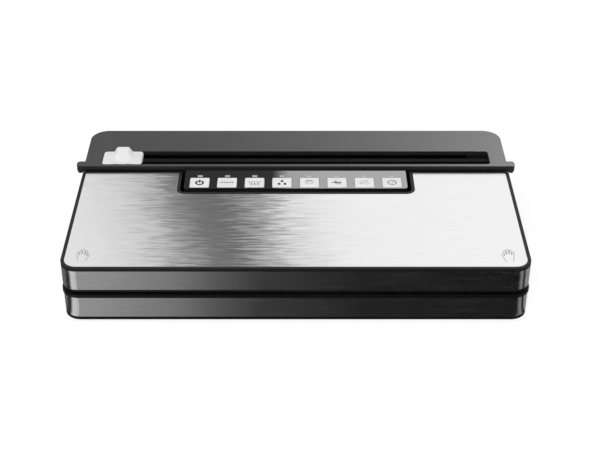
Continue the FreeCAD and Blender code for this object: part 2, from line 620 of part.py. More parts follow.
def lid_inner():
    """A tray under the lid that presses on the seals and the seal bar."""
    x = about(0, "liner_length")
    y = (plus(FRONT, SHELL, "liner_gap"), minus(Y_MACHINE, "liner_rear_gap"))
    tray = box("liner_block", x, y, (Z_LINER, Z_LID_UNDER))
    inset = minus(0, "liner_wall")
    room_z = (plus(Z_LINER, "liner_floor"), plus(Z_LID_UNDER, BEYOND))
    room = box("liner_room", grown(x, inset), grown(y, inset), room_z)
    groove_z = (minus(Z_LINER, BEYOND), plus(Z_LINER, "seal_sink"))
    strip_groove = box("liner_strip_groove", HEAT_X, about(Y_HEAT, "tape_width"), groove_z)
    cuts = [room, seal_ring("liner_seal_groove", groove_z), strip_groove]
    for index, (place_x, place_y) in enumerate(lid_liner_screws()):
        hole = loose("liner_screw", "running_clearance")
        low = minus(Z_LINER, BEYOND)
        cuts.append(rod(f"liner_hole{index}", hole, place_x, place_y, low, plus(BEYOND, BEYOND)))
    return cut("lid_inner", tray, *cuts)


def latch_hook(sign, side):
    """A hook under the lid, with its barb towards the middle, that a release frame catches."""
    tip = plus(Z_BAND, "release_rise", "release_height", "hook_gap")
    inner = minus(X_HOOK, half("hook_thickness"))
    outer = plus(X_HOOK, half("hook_thickness"))
    shank = box(f"hook_shank_{side}", handed(sign, inner, outer), HOOK_Y, (tip, Z_LID_UNDER))
    barb_x = handed(sign, minus(inner, "hook_barb"), outer)
    barb = box(f"hook_barb_{side}", barb_x, HOOK_Y, above(tip, "hook_barb_height"))
    flange_x = handed(sign, minus(outer, "hook_flange"), outer)
    flange = box(f"hook_flange_{side}", flange_x, HOOK_Y, below(Z_LID_UNDER, "hook_flange_height"))
    return fuse(f"hook_{side}", shank, barb, flange)


def release_button(sign, side):
    """A side button with a frame inside the casing, whose inner edge is the catch for the lid's hook."""
    top = plus(Z_BAND, "release_rise", "release_height")
    catch = minus(X_HOOK, half("hook_thickness"), "hook_barb", minus(0, "catch_overlap"))
    room = minus(RIGHT, SHELL, "release_gap")
    y = about(Y_CHAMBER, "frame_width")
    frame_z = (minus(top, "release_height"), top)
    frame = box(f"frame_block_{side}", handed(sign, minus(catch, "frame_wall"), room), y, frame_z)
    outer_wall = plus(X_HOOK, half("hook_thickness"), "release_travel", "release_gap")
    window_x = handed(sign, catch, outer_wall)
    window = box(f"frame_window_{side}", window_x, LATCH_SLOT_Y, grown(frame_z, BEYOND))
    button_x = handed(sign, minus(room, half(minus(room, outer_wall))), plus(RIGHT, "release_proud"))
    button = box(f"button_block_{side}", button_x, about(Y_CHAMBER, "release_width"), frame_z)
    return fuse(f"{side}_release", cut(f"frame_{side}", frame, window), button)


def panel_housing():
    x = about(0, "panel_width")
    y = (Y_PANEL, Y_MACHINE_BACK)
    block = slab("housing_block", x, y, (Z_MACHINE, Z_PANEL_UNDER), "panel_radius")
    inset = minus(0, "housing_wall")
    low = plus(Z_MACHINE, "housing_floor")
    room = box("housing_room", grown(x, inset), grown(y, inset), (low, plus(Z_PANEL_UNDER, BEYOND)))
    post_x = minus(half("panel_width"), "housing_wall", "board_post")
    ledges = []
    for sign, side in SIDES:
        span = handed(sign, post_x, half("panel_width"))
        ledges.append(box(f"housing_ledge_{side}", span, grown(y, inset), (Z_MACHINE, Z_BOARD)))
    return fuse("panel_housing", cut("housing_hollow", block, room), *ledges)


Z_KEY_FLANGE = minus(Z_PANEL_UNDER, "key_rest_gap", "key_flange_height")
Z_SWITCH_TOP = minus(Z_KEY_FLANGE, "key_travel", "switch_gap")
Z_BOARD = plus(Z_MACHINE, "housing_floor", "housing_floor")
Y_KEY = (plus(Y_PANEL, "key_margin"), plus(Y_PANEL, "key_margin", "key_depth"))
Y_LED = (plus(Y_KEY[1], "led_gap"), plus(Y_KEY[1], "led_gap", "led_depth"))


def key_place(index):
    return f"(({index} - {(KEY_COUNT - 1) / 2}) * key_pitch)"


def control_panel():
    plate_z = (Z_PANEL_UNDER, Z_PANEL)
    plate = slab("panel_plate", about(0, "panel_width"), (Y_PANEL, Y_MACHINE_BACK), plate_z, "panel_radius")
    through = grown(plate_z, BEYOND)
    windows = []
    for index in range(KEY_COUNT):
        x = key_place(index)
        key_x = grown(about(x, "key_width"), "key_gap")
        radius = plus("key_radius", "key_gap")
        windows.append(slab(f"panel_window{index}", key_x, grown(Y_KEY, "key_gap"), through, radius))
        led_x = about(x, "led_width")
        windows.append(box(f"panel_led{index}", led_x, Y_LED, through))
    return cut("control_panel", plate, *windows)


def key_cap(index):
    x = about(key_place(index), "key_width")
    top = plus(Z_PANEL, "key_proud")
    cap = slab(f"key_cap{index}", x, Y_KEY, (Z_KEY_FLANGE, top), "key_radius")
    flange_z = (Z_KEY_FLANGE, plus(Z_KEY_FLANGE, "key_flange_height"))
    flange = box(f"key_flange{index}", grown(x, "key_flange"), Y_KEY, flange_z)
    return fuse(f"key{index}", cap, flange)


def panel_electronics():
    lens_z = (Z_PANEL_UNDER, Z_PANEL)
    places = [key_place(index) for index in range(KEY_COUNT)]
    lenses = [box(f"lens{index}", about(x, "led_width"), Y_LED, lens_z) for index, x in enumerate(places)]
    node("indicator_lenses", group("lenses", lenses))
    inset = minus(0, "housing_wall", "side_gap")
    board_z = (Z_BOARD, plus(Z_BOARD, "board_thickness"))
    board_y = grown((Y_PANEL, Y_MACHINE_BACK), inset)
    node("control_board", box("board_plate", grown(about(0, "panel_width"), inset), board_y, board_z))
    y = about(half(plus(*Y_KEY)), "switch_side")
    switches = []
    for index, x in enumerate(places):
        switches.append(box(f"switch{index}", about(x, "switch_side"), y, (board_z[1], Z_SWITCH_TOP)))
    node("key_switches", group("switches", switches))


def machinery():
    """Transformer, pump, valve, boards and hose in the bay under the panel."""
    floor = Z_FLOOR
    core_z = (Z_PUMP, plus(Z_PUMP, "core_height"))
    core_x = about("core_x", "core_width")
    core = box("core_block", core_x, about("core_y", "core_depth"), core_z)
    window_z = grown(core_z, minus(0, "core_leg"))
    deep = about("core_y", plus("coil_depth", BEYOND))
    windows = []
    for side, (low, high) in (("left", (plus(core_x[0], "core_leg"), minus("core_x", "core_leg"))),
                              ("right", (plus("core_x", "core_leg"), minus(core_x[1], "core_leg")))):
        windows.append(box(f"core_window_{side}", (low, high), deep, window_z))
    foot_y = about("core_y", plus("core_depth", "core_leg"))
    foot = box("core_foot", core_x, foot_y, (floor, Z_PUMP))
    node("transformer_core", fuse("core_joined", cut("core", core, *windows), foot))
    coil_x = about("core_x", minus("core_width", "core_leg * 2", "coil_gap * 2"))
    coil_z = grown(window_z, minus(0, "coil_gap"))
    coil = box("coil_block", coil_x, about("core_y", "coil_depth"), coil_z)
    leg = box("coil_leg", about("core_x", plus("core_leg * 2", "coil_gap * 2")),
              about("core_y", plus("core_depth", "coil_gap * 2")), grown(coil_z, BEYOND))
    node("transformer_coil", cut("coil", coil, leg))
    axis_z = plus(Z_PUMP, half("pump_side"))
    motor = rod("motor_can", "motor_diameter", "motor_x", "pump_y", axis_z, "motor_length", "x")
    shaft = rod("motor_shaft", "pump_shaft", minus("motor_x", half("pump_length")), "pump_y", axis_z,
                half("pump_length"), "x")
    node("pump_motor", fuse("motor", motor, shaft))
    head = box("pump_block", PUMP_X, PUMP_Y, (floor, plus(Z_PUMP, "pump_side")))
    room_x = minus("motor_x", half("pump_length"), "side_gap")
    room = rod("pump_room", plus("pump_shaft", "side_gap"), room_x, "pump_y", axis_z, "pump_length", "x")
    inlet_y = minus(PUMP_Y[0], BEYOND)
    inlet = rod("pump_inlet", "hose_bore", X_INLET, inlet_y, HOSE_Z, plus(BEYOND, BEYOND), "y")
    node("pump_head", cut("pump", head, room, inlet))
    board_x = plus(minus(0, half("machine_width")), "machine_wall", "bay_margin")
    board_y = plus(Y_MACHINE, "machine_wall", "bay_margin")
    lift = plus(floor, "power_board_lift")
    span_x = above(board_x, "power_board_width")
    span_y = above(board_y, "power_board_depth")
    plate = box("power_plate", span_x, span_y, (lift, plus(lift, "board_thickness")))
    posts = []
    for index, (right, back) in enumerate(FOUR_CORNERS):
        post_x = above(span_x[0], "board_post") if right < 0 else below(span_x[1], "board_post")
        post_y = above(span_y[0], "board_post") if back < 0 else below(span_y[1], "board_post")
        posts.append(box(f"power_post{index}", post_x, post_y, (floor, lift)))
    node("power_board", fuse("power_board", plate, *posts))
    valve_x = above(plus(span_x[1], "bay_margin"), "valve_width")
    valve_y = above(board_y, "valve_depth")
    node("release_valve", box("valve_body", valve_x, valve_y, above(floor, "valve_height")))


def vacuum_hose():
    """A silicone hose from the nozzle to the pump: three straight runs and two equal level bends."""
    start = Vector(number("nozzle_x"), number(Y_NOZZLE), number(HOSE_Z))
    end = Vector(number(X_INLET), number(PUMP_Y[0]), number(HOSE_Z))
    bend = number("hose_bend")
    side = -1 if end.x < start.x else 1
    turn_y = (start.y + end.y) / 2
    toward = Vector(side, 0, 0)
    ahead = Vector(0, 1, 0)
    first = Vector(start.x, turn_y - bend, start.z)
    second = first + (toward + ahead) * bend
    third = Vector(end.x, turn_y, end.z) - toward * bend
    fourth = third + (toward + ahead) * bend
    diagonal = math.sqrt(0.5) * bend
    first_middle = first + toward * (bend - diagonal) + ahead * diagonal
    second_middle = third + toward * diagonal + ahead * (bend - diagonal)
    edges = [
        Part.LineSegment(start, first),
        Part.Arc(first, first_middle, second),
        Part.LineSegment(second, third),
        Part.Arc(third, second_middle, fourth),
        Part.LineSegment(fourth, end),
    ]
    path = Part.Wire([edge.toShape() for edge in edges])
    tubes = []
    for diameter in ("hose_diameter", "hose_bore"):
        ring = Part.Wire([Part.Circle(start, ahead, number(diameter) / 2).toShape()])
        tubes.append(path.makePipeShell([ring], True, False))
    hose = doc.addObject("Part::Feature", "hose_tube")
    hose.Shape = tubes[0].cut(tubes[1])
    hose.Placement = Placement()
    return hose


def lid_switch():
    """A small switch under the deck, beside the left hook that trips it."""
    y = plus(LATCH_SLOT_Y[1], half(minus("frame_width", "hook_width")), "lid_switch_gap")
    x = about(minus(0, X_HOOK), "lid_switch_width")
    return box("switch_case", x, above(y, "lid_switch_depth"), below(Z_DECK, "lid_switch_height"))


def roll_bin():
    """The roll compartment: a trough through the deck under a housing with an open top."""
    top = minus(Z_LID_TOP, "barrel_gap")
    over = plus(Z_TOP, BEYOND)
    behind = box("bin_behind", WIDE, (Y_BIN, ACROSS[1]), (Z_TRIM, over))
    housing = common("bin_housing", cover_plan("bin_outer", (Z_TRIM, top)), behind)
    low = plus(Z_FLOOR, "roll_floor_lift")
    trough = box("bin_trough", BIN_X, BIN_Y, (low, top))
    inside_y = grown(BIN_Y, minus(0, "bin_wall"))
    cuts = [box("bin_room", about(0, "roll_length"), inside_y, (plus(low, "roll_floor"), over))]
    ahead = minus(Y_BIN, BEYOND)
    film_y = (ahead, plus(Y_BAR, "bar_depth", "film_gap"))
    cuts.append(box("bin_film_gap", WIDE, film_y, (minus(Z_LID_TOP, "film_gap"), over)))
    channel_x = grown(about(0, "slot_length"), plus("rail_lap", "channel_margin"))
    channel_z = (minus(Z_LID_TOP, "channel_drop"), over)
    cuts.append(box("bin_channel", channel_x, grown(SLOT_Y, "channel_margin"), channel_z))
    back_y = (minus(Y_COVER_HINGE, "barrel_radius", "barrel_gap"), ACROSS[1])
    cuts.append(box("bin_back_gap", WIDE, back_y, (Z_BIN_BACK, over)))
    ears = []
    bores = []
    for sign, side in SIDES:
        pocket_x = handed(sign, BIN_X[1], minus(RIGHT, "cover_inset", "bin_wall", "corner_radius"))
        pocket_z = (minus(Z_TRIM, BEYOND), minus(Z_LID_TOP, "channel_drop", "bin_wall"))
        cuts.append(box(f"bin_pocket_{side}", pocket_x, inside_y, pocket_z))
        ear_x = about(f"({sign}) * ear_spread", "ear_width")
        eye = "ear_radius * 2"
        ears.append(rod(f"ear_eye_{side}", eye, ear_x[0], Y_COVER_HINGE, Z_COVER_HINGE, "ear_width", "x"))
        root_y = (minus(Y_COVER_HINGE, "ear_radius"), plus(Y_COVER_HINGE, "ear_heel"))
        ears.append(box(f"ear_root_{side}", ear_x, root_y, below(Z_COVER_HINGE, "ear_root")))
        bores.append(cover_pin(f"ear_bore_{side}", sign, loose("cover_pin", "running_clearance")))
    hollow = cut("bin_hollow", fuse("bin_joined", housing, trough), *cuts)
    return cut("roll_bin", fuse("bin_eared", hollow, *ears), *bores)


def cover_pin(name, sign, diameter):
    start = minus(f"({sign}) * ear_spread", half("cover_pin_length"))
    return rod(name, diameter, start, Y_COVER_HINGE, Z_COVER_HINGE, "cover_pin_length", "x")


def roll_cover():
    """The lid of the roll compartment: a flat plate with a barrel under its back edge and two lift tabs."""
    over = plus(Z_TOP, BEYOND)
    under = minus(Z_COVER_HINGE, "barrel_radius", BEYOND)
    width = about(0, minus("body_width", "cover_inset", "cover_inset"))
    plate = box("cover_plate", width, (Y_BAR, Y_COVER_BACK), (Z_LID_TOP, Z_TOP))
    span = minus(width[1], width[0])
    barrel = rod("cover_barrel", "barrel_radius * 2", width[0], Y_COVER_HINGE, Z_COVER_HINGE, span, "x")
    web_y = (minus(Y_COVER_HINGE, "barrel_radius"), Y_COVER_BACK)
    web = box("cover_web", width, web_y, (Z_COVER_HINGE, Z_TOP))
    outline = cover_plan("cover_outline", (under, over))
    lid = common("cover_trimmed", fuse("cover_blank", plate, barrel, web), outline)
    reach = plus(RIGHT, "tab_reach")
    tab_x = (minus(0, reach), reach)
    tab_y = above(Y_BAR, "tab_depth")
    tabs = slab("cover_tabs", tab_x, tab_y, (Z_TAB, Z_TOP), "tab_radius")
    turn_z = plus(Z_TAB, half("tab_reach"))
    profile = [box("cover_tab_bar", tab_x, tab_y, (Z_LID_TOP, Z_TOP))]
    for sign, side in SIDES:
        root_x = handed(sign, RIGHT, reach)
        profile.append(box(f"cover_tab_root_{side}", root_x, tab_y, (turn_z, Z_TOP)))
        end_x = half(plus(*root_x))
        heel_x = handed(sign, RIGHT, plus(RIGHT, half("tab_reach")))
        profile.append(box(f"cover_tab_heel_{side}", heel_x, tab_y, (plus(Z_TAB, "tab_heel"), Z_TOP)))
        profile.append(rod(f"cover_tab_end_{side}", "tab_reach", end_x, Y_BAR, turn_z, "tab_depth", "y"))
    ends = common("cover_tab_ends", tabs, fuse("cover_tab_profile", *profile))
    cuts = [slab("cover_slot", about(0, "slot_length"), SLOT_Y, (under, over), "slot_radius")]
    cuts.append(finger_scoop("cover_scoop"))
    for sign, side in SIDES:
        ear_x = grown(about(f"({sign}) * ear_spread", "ear_width"), "side_gap")
        ear_y = (minus(web_y[0], BEYOND), ACROSS[1])
        ear_top = plus(Z_COVER_HINGE, "ear_radius", "barrel_gap")
        cuts.append(box(f"cover_notch_{side}", ear_x, ear_y, (under, ear_top)))
        cuts.append(cover_pin(f"cover_bore_{side}", sign, loose("cover_pin", "seat_clearance")))
    return cut("roll_cover", fuse("cover_joined", lid, ends), *cuts)


RAIL_Y = (plus(SLOT_Y[0], "rail_setback"), plus(SLOT_Y[0], "rail_setback", "rail_width"))
Z_SLIDER = (plus(Z_LID_TOP, "slider_gap"), plus(Z_TOP, "slider_proud"))
SLIDER_Y = grown(SLOT_Y, "0 - slider_gap")
SLIDER_X = above(minus("slider_end_gap", half("slot_length")), "slider_length")
X_SLIDER = half(plus(*SLIDER_X))


def finger_scoop(name):
    """A shallow hollow for a fingertip, across the front of the parked cutter and the bar before it."""
    x = about(X_SLIDER, "scoop_stretch")
    y = plus(SLIDER_Y[0], "tab_radius")
    z = minus(plus(Z_SLIDER[1], "scoop_radius"), "scoop_depth")
    solids = [rod(f"{name}_middle", "scoop_radius * 2", x[0], y, z, "scoop_stretch", "x")]
    for end, place in zip(("left", "right"), x):
        ball = doc.addObject("Part::Sphere", f"{name}_{end}")
        bind(ball, "Radius", "scoop_radius")
        for axis, where in (("x", place), ("y", y), ("z", z)):
            bind(ball, f"Placement.Base.{axis}", where)
        solids.append(ball)
    return fuse(name, *solids)


def cutter_rail():
    x = grown(about(0, "slot_length"), "rail_lap")
    return box("rail_strip", x, RAIL_Y, (Z_RAIL, Z_LID_TOP))


def cutter_slider():
    """The cutter's finger piece: two flat wings, a tapered hump and a thumb scoop, with grips on the rail."""
    wings = slab("slider_wings", SLIDER_X, SLIDER_Y, Z_SLIDER, "tab_radius")
    hump = doc.addObject("Part::Wedge", "slider_hump")
    hump.Placement = Placement(Vector(), Rotation(Vector(1, 0, 0), 90))
    bind(hump, "Placement.Base.x", X_SLIDER)
    bind(hump, "Placement.Base.y", minus(SLIDER_Y[1], "hump_inset", half("hump_depth")))
    bind(hump, "Placement.Base.z", minus(Z_SLIDER[1], "slider_proud"))
    bind(hump, "Ymin", 0)
    bind(hump, "Ymax", plus("hump_height", "slider_proud"))
    ends = (("X", "hump_base"), ("Z", "hump_depth"), ("X2", "hump_top"), ("Z2", "hump_top_depth"))
    for side, size in ends:
        bind(hump, f"{side}min", minus(0, half(size)))
        bind(hump, f"{side}max", half(size))
    solids = [wings, hump]
    lip_low = minus(Z_RAIL, "grip_gap", "grip_lip")
    near = (minus(RAIL_Y[0], "grip_gap", "grip_wall"), minus(RAIL_Y[0], "grip_gap"))
    far = (plus(RAIL_Y[1], "grip_gap"), plus(RAIL_Y[1], "grip_gap", "grip_wall"))
    grip_x = grown(SLIDER_X, "0 - tab_radius")
    for name, span, lip in (("near", near, (near[0], plus(near[1], "grip_gap", "grip_wall"))),
                            ("far", far, (minus(far[0], "grip_gap", "grip_wall"), far[1]))):
        solids.append(box(f"slider_leg_{name}", grip_x, span, (lip_low, Z_SLIDER[1])))
        solids.append(box(f"slider_lip_{name}", grip_x, lip, (lip_low, minus(Z_RAIL, "grip_gap"))))
    return cut("cutter_slider", fuse("slider_joined", *solids), finger_scoop("slider_scoop"))


def cutter_blade():
    y = plus(SLIDER_Y[0], "blade_setback")
    z = (minus(Z_SLIDER[0], "blade_drop"), Z_SLIDER[0])
    return box("blade_strip", about(X_SLIDER, "blade_length"), (y, plus(y, "blade_thickness")), z)


def fasteners_and_feet():
    feet = []
    for index, (right, back) in enumerate(FOUR_CORNERS):
        x = f"({right}) * {minus(RIGHT, 'foot_inset')}"
        y = f"({back}) * {minus(BACK, 'foot_inset')}"
        feet.append(rod(f"foot{index}", "foot_diameter", x, y, 0, "foot_height"))
    node("rubber_feet", group("feet", feet))
    screws = []
    for index, (x, y) in enumerate(SCREWS):
        shank_top = plus(Z_DECK, "screw_grip")
        head = rod(f"screw_head{index}", "screw_head", x, y, Z_HEAD, "screw_head_height")
        shank = rod(f"screw_shank{index}", "screw_diameter", x, y, Z_HEAD, minus(shank_top, Z_HEAD))
        screws.append(fuse(f"screw{index}", head, shank))
    node("base_screws", group("screws", screws))
    liner_screws = []
    for index, (x, y) in enumerate(lid_liner_screws()):
        low = minus(Z_LINER, "liner_floor")
        length = plus("liner_floor", "liner_floor", liner_thread())
        head = rod(f"liner_head{index}", "liner_screw_head", x, y, low, "liner_floor")
        shank = rod(f"liner_shank{index}", "liner_screw", x, y, low, minus(length, "seat_clearance"))
        liner_screws.append(fuse(f"liner_screw{index}", head, shank))
    node("lid_screws", group("lid_screws", liner_screws))
    pins = [hinge_pin(f"lid_pin_{side}", sign, "hinge_pin") for sign, side in SIDES]
    node("lid_hinge_pins", group("lid_pins", pins))
    pins = [cover_pin(f"cover_pin_{side}", sign, "cover_pin") for sign, side in SIDES]
    node("cover_hinge_pins", group("cover_pins", pins))


def cord_gland():
    """A rubber grommet in the back wall where the mains cord enters."""
    x = minus(RIGHT, "gland_inset")
    z = "gland_height"
    length = plus("gland_depth", SHELL)
    body = rod("gland_body", "gland_diameter", x, minus(BACK, length), z, length, "y")
    flange_y = minus(BACK, SHELL, "gland_flange_height")
    flange = rod("gland_collar", "gland_flange", x, flange_y, z, "gland_flange_height", "y")
    bore_y = minus(BACK, length, BEYOND)
    bore = rod("gland_bore_hole", "gland_bore", x, bore_y, z, plus(length, BEYOND, BEYOND), "y")
    return cut("cord_gland", fuse("gland_joined", body, flange), bore)


def build():
    node("base_shell", base_shell())
    node("base_band", base_band())
    node("deck", deck())
    node("chamber_tray", chamber_tray())
    seals_and_heater()
    node("suction_nozzle", suction_nozzle())
    node("machine_cover", machine_cover())
    for sign, side in SIDES:
        node(f"hinge_post_{side}", hinge_post(sign, side))
        node(f"{side}_release", release_button(sign, side))
    node("latch_hooks", group("hooks", [latch_hook(sign, side) for sign, side in SIDES]))
    node("lid_shell", rounded_rear_edge(lid_shell()))
    node("lid_plate", plate_shape("plate", below(minus(Z_LID_TOP, "plate_sink"), "plate_thickness")))
    node("lid_band", band("lid_strip", (Z_LID_BAND, Z_RIM), minus(Y_LID_REAR, "wall")))
    node("lid_inner", lid_inner())
    sunk = plus(Z_LINER, "seal_sink")
    node("upper_seal", seal_ring("upper_ring", (minus(Z_LINER, "upper_seal_height"), sunk)))
    press_low = plus(Z_TRIM, "heat_bar_height", "tape_thickness", "press_gap")
    node("pressure_strip", box("press_strip", HEAT_X, about(Y_HEAT, "tape_width"), (press_low, sunk)))
    node("panel_housing", panel_housing())
    node("control_panel", control_panel())
    for index in range(KEY_COUNT):
        node(f"key_{index + 1}", key_cap(index))
    panel_electronics()
    machinery()
    node("vacuum_hose", vacuum_hose())
    node("lid_switch", lid_switch())
    node("roll_bin", roll_bin())
    node("roll_cover", roll_cover())
    node("cutter_rail", cutter_rail())
    node("cutter_slider", cutter_slider())
    node("cutter_blade", cutter_blade())
    node("cord_gland", cord_gland())
    fasteners_and_feet()


def check():
    doc.recompute()
    for item in doc.Objects:
        faults = [word for word in item.State if word in ("Invalid", "Error")]
        if faults:
            raise RuntimeError(f"{item.Name} is {faults}")
    for item in NODES:
        if item.Shape.isNull() or not item.Shape.isValid():
            raise RuntimeError(f"{item.Label} has no valid shape")


def write():
    os.makedirs("parts", exist_ok=True)
    for item in NODES:
        item.Shape.exportStep(f"parts/{item.Label}.step")
    print(len(NODES), "nodes written")


build()
check()
write()
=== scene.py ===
import bmesh
import bpy
import math
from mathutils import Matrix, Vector


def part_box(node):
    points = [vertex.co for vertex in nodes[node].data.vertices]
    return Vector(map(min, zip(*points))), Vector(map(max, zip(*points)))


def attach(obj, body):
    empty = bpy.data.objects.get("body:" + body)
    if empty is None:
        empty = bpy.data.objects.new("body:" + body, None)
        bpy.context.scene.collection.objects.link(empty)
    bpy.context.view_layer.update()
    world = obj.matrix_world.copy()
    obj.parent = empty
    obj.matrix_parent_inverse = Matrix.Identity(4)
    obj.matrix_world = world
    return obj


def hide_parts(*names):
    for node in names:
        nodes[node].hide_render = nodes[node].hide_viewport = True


# The looks of a countertop vacuum sealer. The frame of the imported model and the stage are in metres.
# Roundings and the new pieces are given in mm.

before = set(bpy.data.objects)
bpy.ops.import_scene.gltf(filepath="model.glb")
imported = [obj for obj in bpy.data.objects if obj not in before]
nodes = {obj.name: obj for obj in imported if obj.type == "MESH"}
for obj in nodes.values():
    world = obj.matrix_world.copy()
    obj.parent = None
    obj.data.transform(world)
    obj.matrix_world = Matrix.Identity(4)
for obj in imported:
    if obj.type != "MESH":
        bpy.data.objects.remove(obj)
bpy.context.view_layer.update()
scene = bpy.context.scene
scene.view_settings.view_transform = "Standard"
MM = 0.001


# Materials

def grey(level):
    return (level, level, level)


class Shader:
    """A node material with short calls for the nodes that it uses."""

    def __init__(self, name):
        self.material = bpy.data.materials.new(name)
        self.material.use_nodes = True
        self.tree = self.material.node_tree
        self.bsdf = self.tree.nodes["Principled BSDF"]
        self.coordinates = self.add("ShaderNodeTexCoord").outputs

    def add(self, kind, **values):
        made = self.tree.nodes.new(kind)
        for name, value in values.items():
            setattr(made, name, value)
        return made

    def link(self, start, end):
        self.tree.links.new(start, end)

    def set(self, **values):
        """Sets sockets of the surface, whose names have _ for each space."""
        for name, value in values.items():
            self.bsdf.inputs[name.replace("_", " ")].default_value = value

    def texture(self, kind, scale, sockets, **values):
        """A texture in the part's own space, with one scale or a scale for each axis."""
        stretched = self.add("ShaderNodeMapping")
        stretched.inputs["Scale"].default_value = scale if isinstance(scale, tuple) else (scale,) * 3
        self.link(self.coordinates["Object"], stretched.inputs["Vector"])
        made = self.add(kind, **values)
        made.inputs["Scale"].default_value = 1
        for name, value in sockets.items():
            made.inputs[name].default_value = value
        self.link(stretched.outputs["Vector"], made.inputs["Vector"])
        return made.outputs

    def noise(self, scale, detail=4, roughness=0.6):
        sockets = {"Detail": detail, "Roughness": roughness}
        return self.texture("ShaderNodeTexNoise", scale, sockets)["Fac"]

    def ranged(self, value, low, high, start=0.3, end=0.7):
        made = self.add("ShaderNodeMapRange")
        sockets = {"From Min": start, "From Max": end, "To Min": low, "To Max": high}
        for name, number in sockets.items():
            made.inputs[name].default_value = number
        self.link(value, made.inputs["Value"])
        return made.outputs["Result"]

    def colour(self, value, dark, light, start=0.3, end=0.7):
        made = self.add("ShaderNodeValToRGB")
        stops = ((start, dark), (end, light))
        for element, (position, shade) in zip(made.color_ramp.elements, stops):
            element.position = position
            element.color = (*shade, 1)
        self.link(value, made.inputs["Fac"])
        self.link(made.outputs["Color"], self.bsdf.inputs["Base Color"])

    def rough(self, value, low, high, start=0.3, end=0.7):
        self.link(self.ranged(value, low, high, start, end), self.bsdf.inputs["Roughness"])

    def bump(self, value, strength, depth_mm, normal=None):
        made = self.add("ShaderNodeBump")
        made.inputs["Strength"].default_value = strength
        made.inputs["Distance"].default_value = depth_mm * MM
        self.link(value, made.inputs["Height"])
        if normal:
            self.link(normal, made.inputs["Normal"])
        self.link(made.outputs["Normal"], self.bsdf.inputs["Normal"])

    def turned(self, value, kind):
        """A direction of the part's own space, turned with the part."""
        made = self.add("ShaderNodeVectorTransform", vector_type=kind,
                        convert_from="OBJECT", convert_to="WORLD")
        self.link(value, made.inputs["Vector"])
        return made.outputs["Vector"]

    def grooves(self, across):
        """Points the anisotropy across the brushing, in the part's own space."""
        direction = self.add("ShaderNodeCombineXYZ")
        for name, value in zip("XYZ", across):
            direction.inputs[name].default_value = value
        tangent = self.turned(direction.outputs["Vector"], "VECTOR")
        self.link(tangent, self.bsdf.inputs["Tangent"])

    def leaning(self, value, amount, across):
        """The surface's normal, tipped to and fro along the brushing by a value."""
        normal = self.coordinates["Normal"]
        along = self.add("ShaderNodeVectorMath", operation="CROSS_PRODUCT")
        along.inputs[0].default_value = across
        self.link(normal, along.inputs[1])
        tipped = self.add("ShaderNodeVectorMath", operation="MULTIPLY_ADD")
        self.link(along.outputs["Vector"], tipped.inputs[0])
        self.link(self.ranged(value, -amount, amount), tipped.inputs[1])
        self.link(normal, tipped.inputs[2])
        return self.turned(tipped.outputs["Vector"], "NORMAL")


def steel(name, level, streak, fine, across, rough, anisotropy=0.0, lean=0.0, contrast=0.1):
    """Brushed metal: streaks that lean to and fro, over fine scratches along the brushing."""
    made = Shader(name)
    made.set(Metallic=1.0, Anisotropic=anisotropy)
    streaks = made.noise(streak, detail=3, roughness=0.55)
    scratches = made.noise(fine, detail=3)
    made.colour(streaks, grey(level * (1 - contrast)), grey(level * (1 + contrast)))
    made.rough(streaks, *rough, start=0.35, end=0.65)
    leaning = made.leaning(streaks, lean, across)
    made.bump(scratches, strength=0.1, depth_mm=0.03, normal=leaning)
    made.grooves(across)
    return made.material


def plastic(name, level, rough, grain, bump=0.2, specular=0.5, mottle=0.15):
    """Moulded plastic with a fine eroded grain."""
    made = Shader(name)
    made.set(Specular_IOR_Level=specular)
    cloud = made.noise(35, detail=3)
    made.colour(cloud, grey(level * (1 - mottle)), grey(level * (1 + mottle)))
    texture = made.noise(grain, roughness=0.65)
    made.rough(texture, *rough)
    made.bump(texture, bump, depth_mm=0.06)
    return made.material


def gloss(name, level, rough, specular=0.5, coat=0.0, coat_ior=1.5):
    """Polished plastic with a trace of haze in the polish."""
    made = Shader(name)
    made.set(Specular_IOR_Level=specular, Coat_Weight=coat, Coat_IOR=coat_ior,
             Coat_Roughness=rough[0])
    haze = made.noise(60, detail=5, roughness=0.7)
    made.colour(haze, grey(level * 0.9), grey(level * 1.05))
    made.rough(haze, *rough)
    made.bump(made.noise(500, detail=2), strength=0.02, depth_mm=0.03)
    return made.material


def ink(name, level):
    return plastic(name, level, (0.5, 0.6), grain=1200, bump=0.05)


def foam_material():
    made = Shader("foam_cells")
    pores = made.texture("ShaderNodeTexVoronoi", 900, {})["Distance"]
    made.colour(pores, grey(0.022), grey(0.075), start=0.05, end=0.7)
    made.rough(pores, 0.75, 0.95, start=0.1, end=0.8)
    made.bump(pores, strength=0.6, depth_mm=0.3)
    return made.material


def tape_material():
    """Woven glass cloth under a brown non-stick coat."""
    made = Shader("tape_weave")
    weave = made.texture("ShaderNodeTexWave", 600, {"Distortion": 1.5},
                         wave_type="BANDS", bands_direction="DIAGONAL")["Fac"]
    made.colour(weave, (0.30, 0.20, 0.11), (0.46, 0.33, 0.20), start=0.2, end=0.8)
    made.rough(weave, 0.35, 0.55, start=0.2, end=0.8)
    made.bump(weave, strength=0.3, depth_mm=0.05)
    return made.material


def board_material():
    """Green solder resist over copper tracks."""
    made = Shader("board_tracks")
    sockets = {"Color1": (0.02, 0.13, 0.06, 1), "Color2": (0.015, 0.1, 0.045, 1),
               "Mortar": (0.08, 0.28, 0.12, 1), "Mortar Size": 0.05}
    tracks = made.texture("ShaderNodeTexBrick", 250, sockets)["Color"]
    made.link(tracks, made.bsdf.inputs["Base Color"])
    made.rough(made.noise(300), 0.25, 0.4)
    return made.material


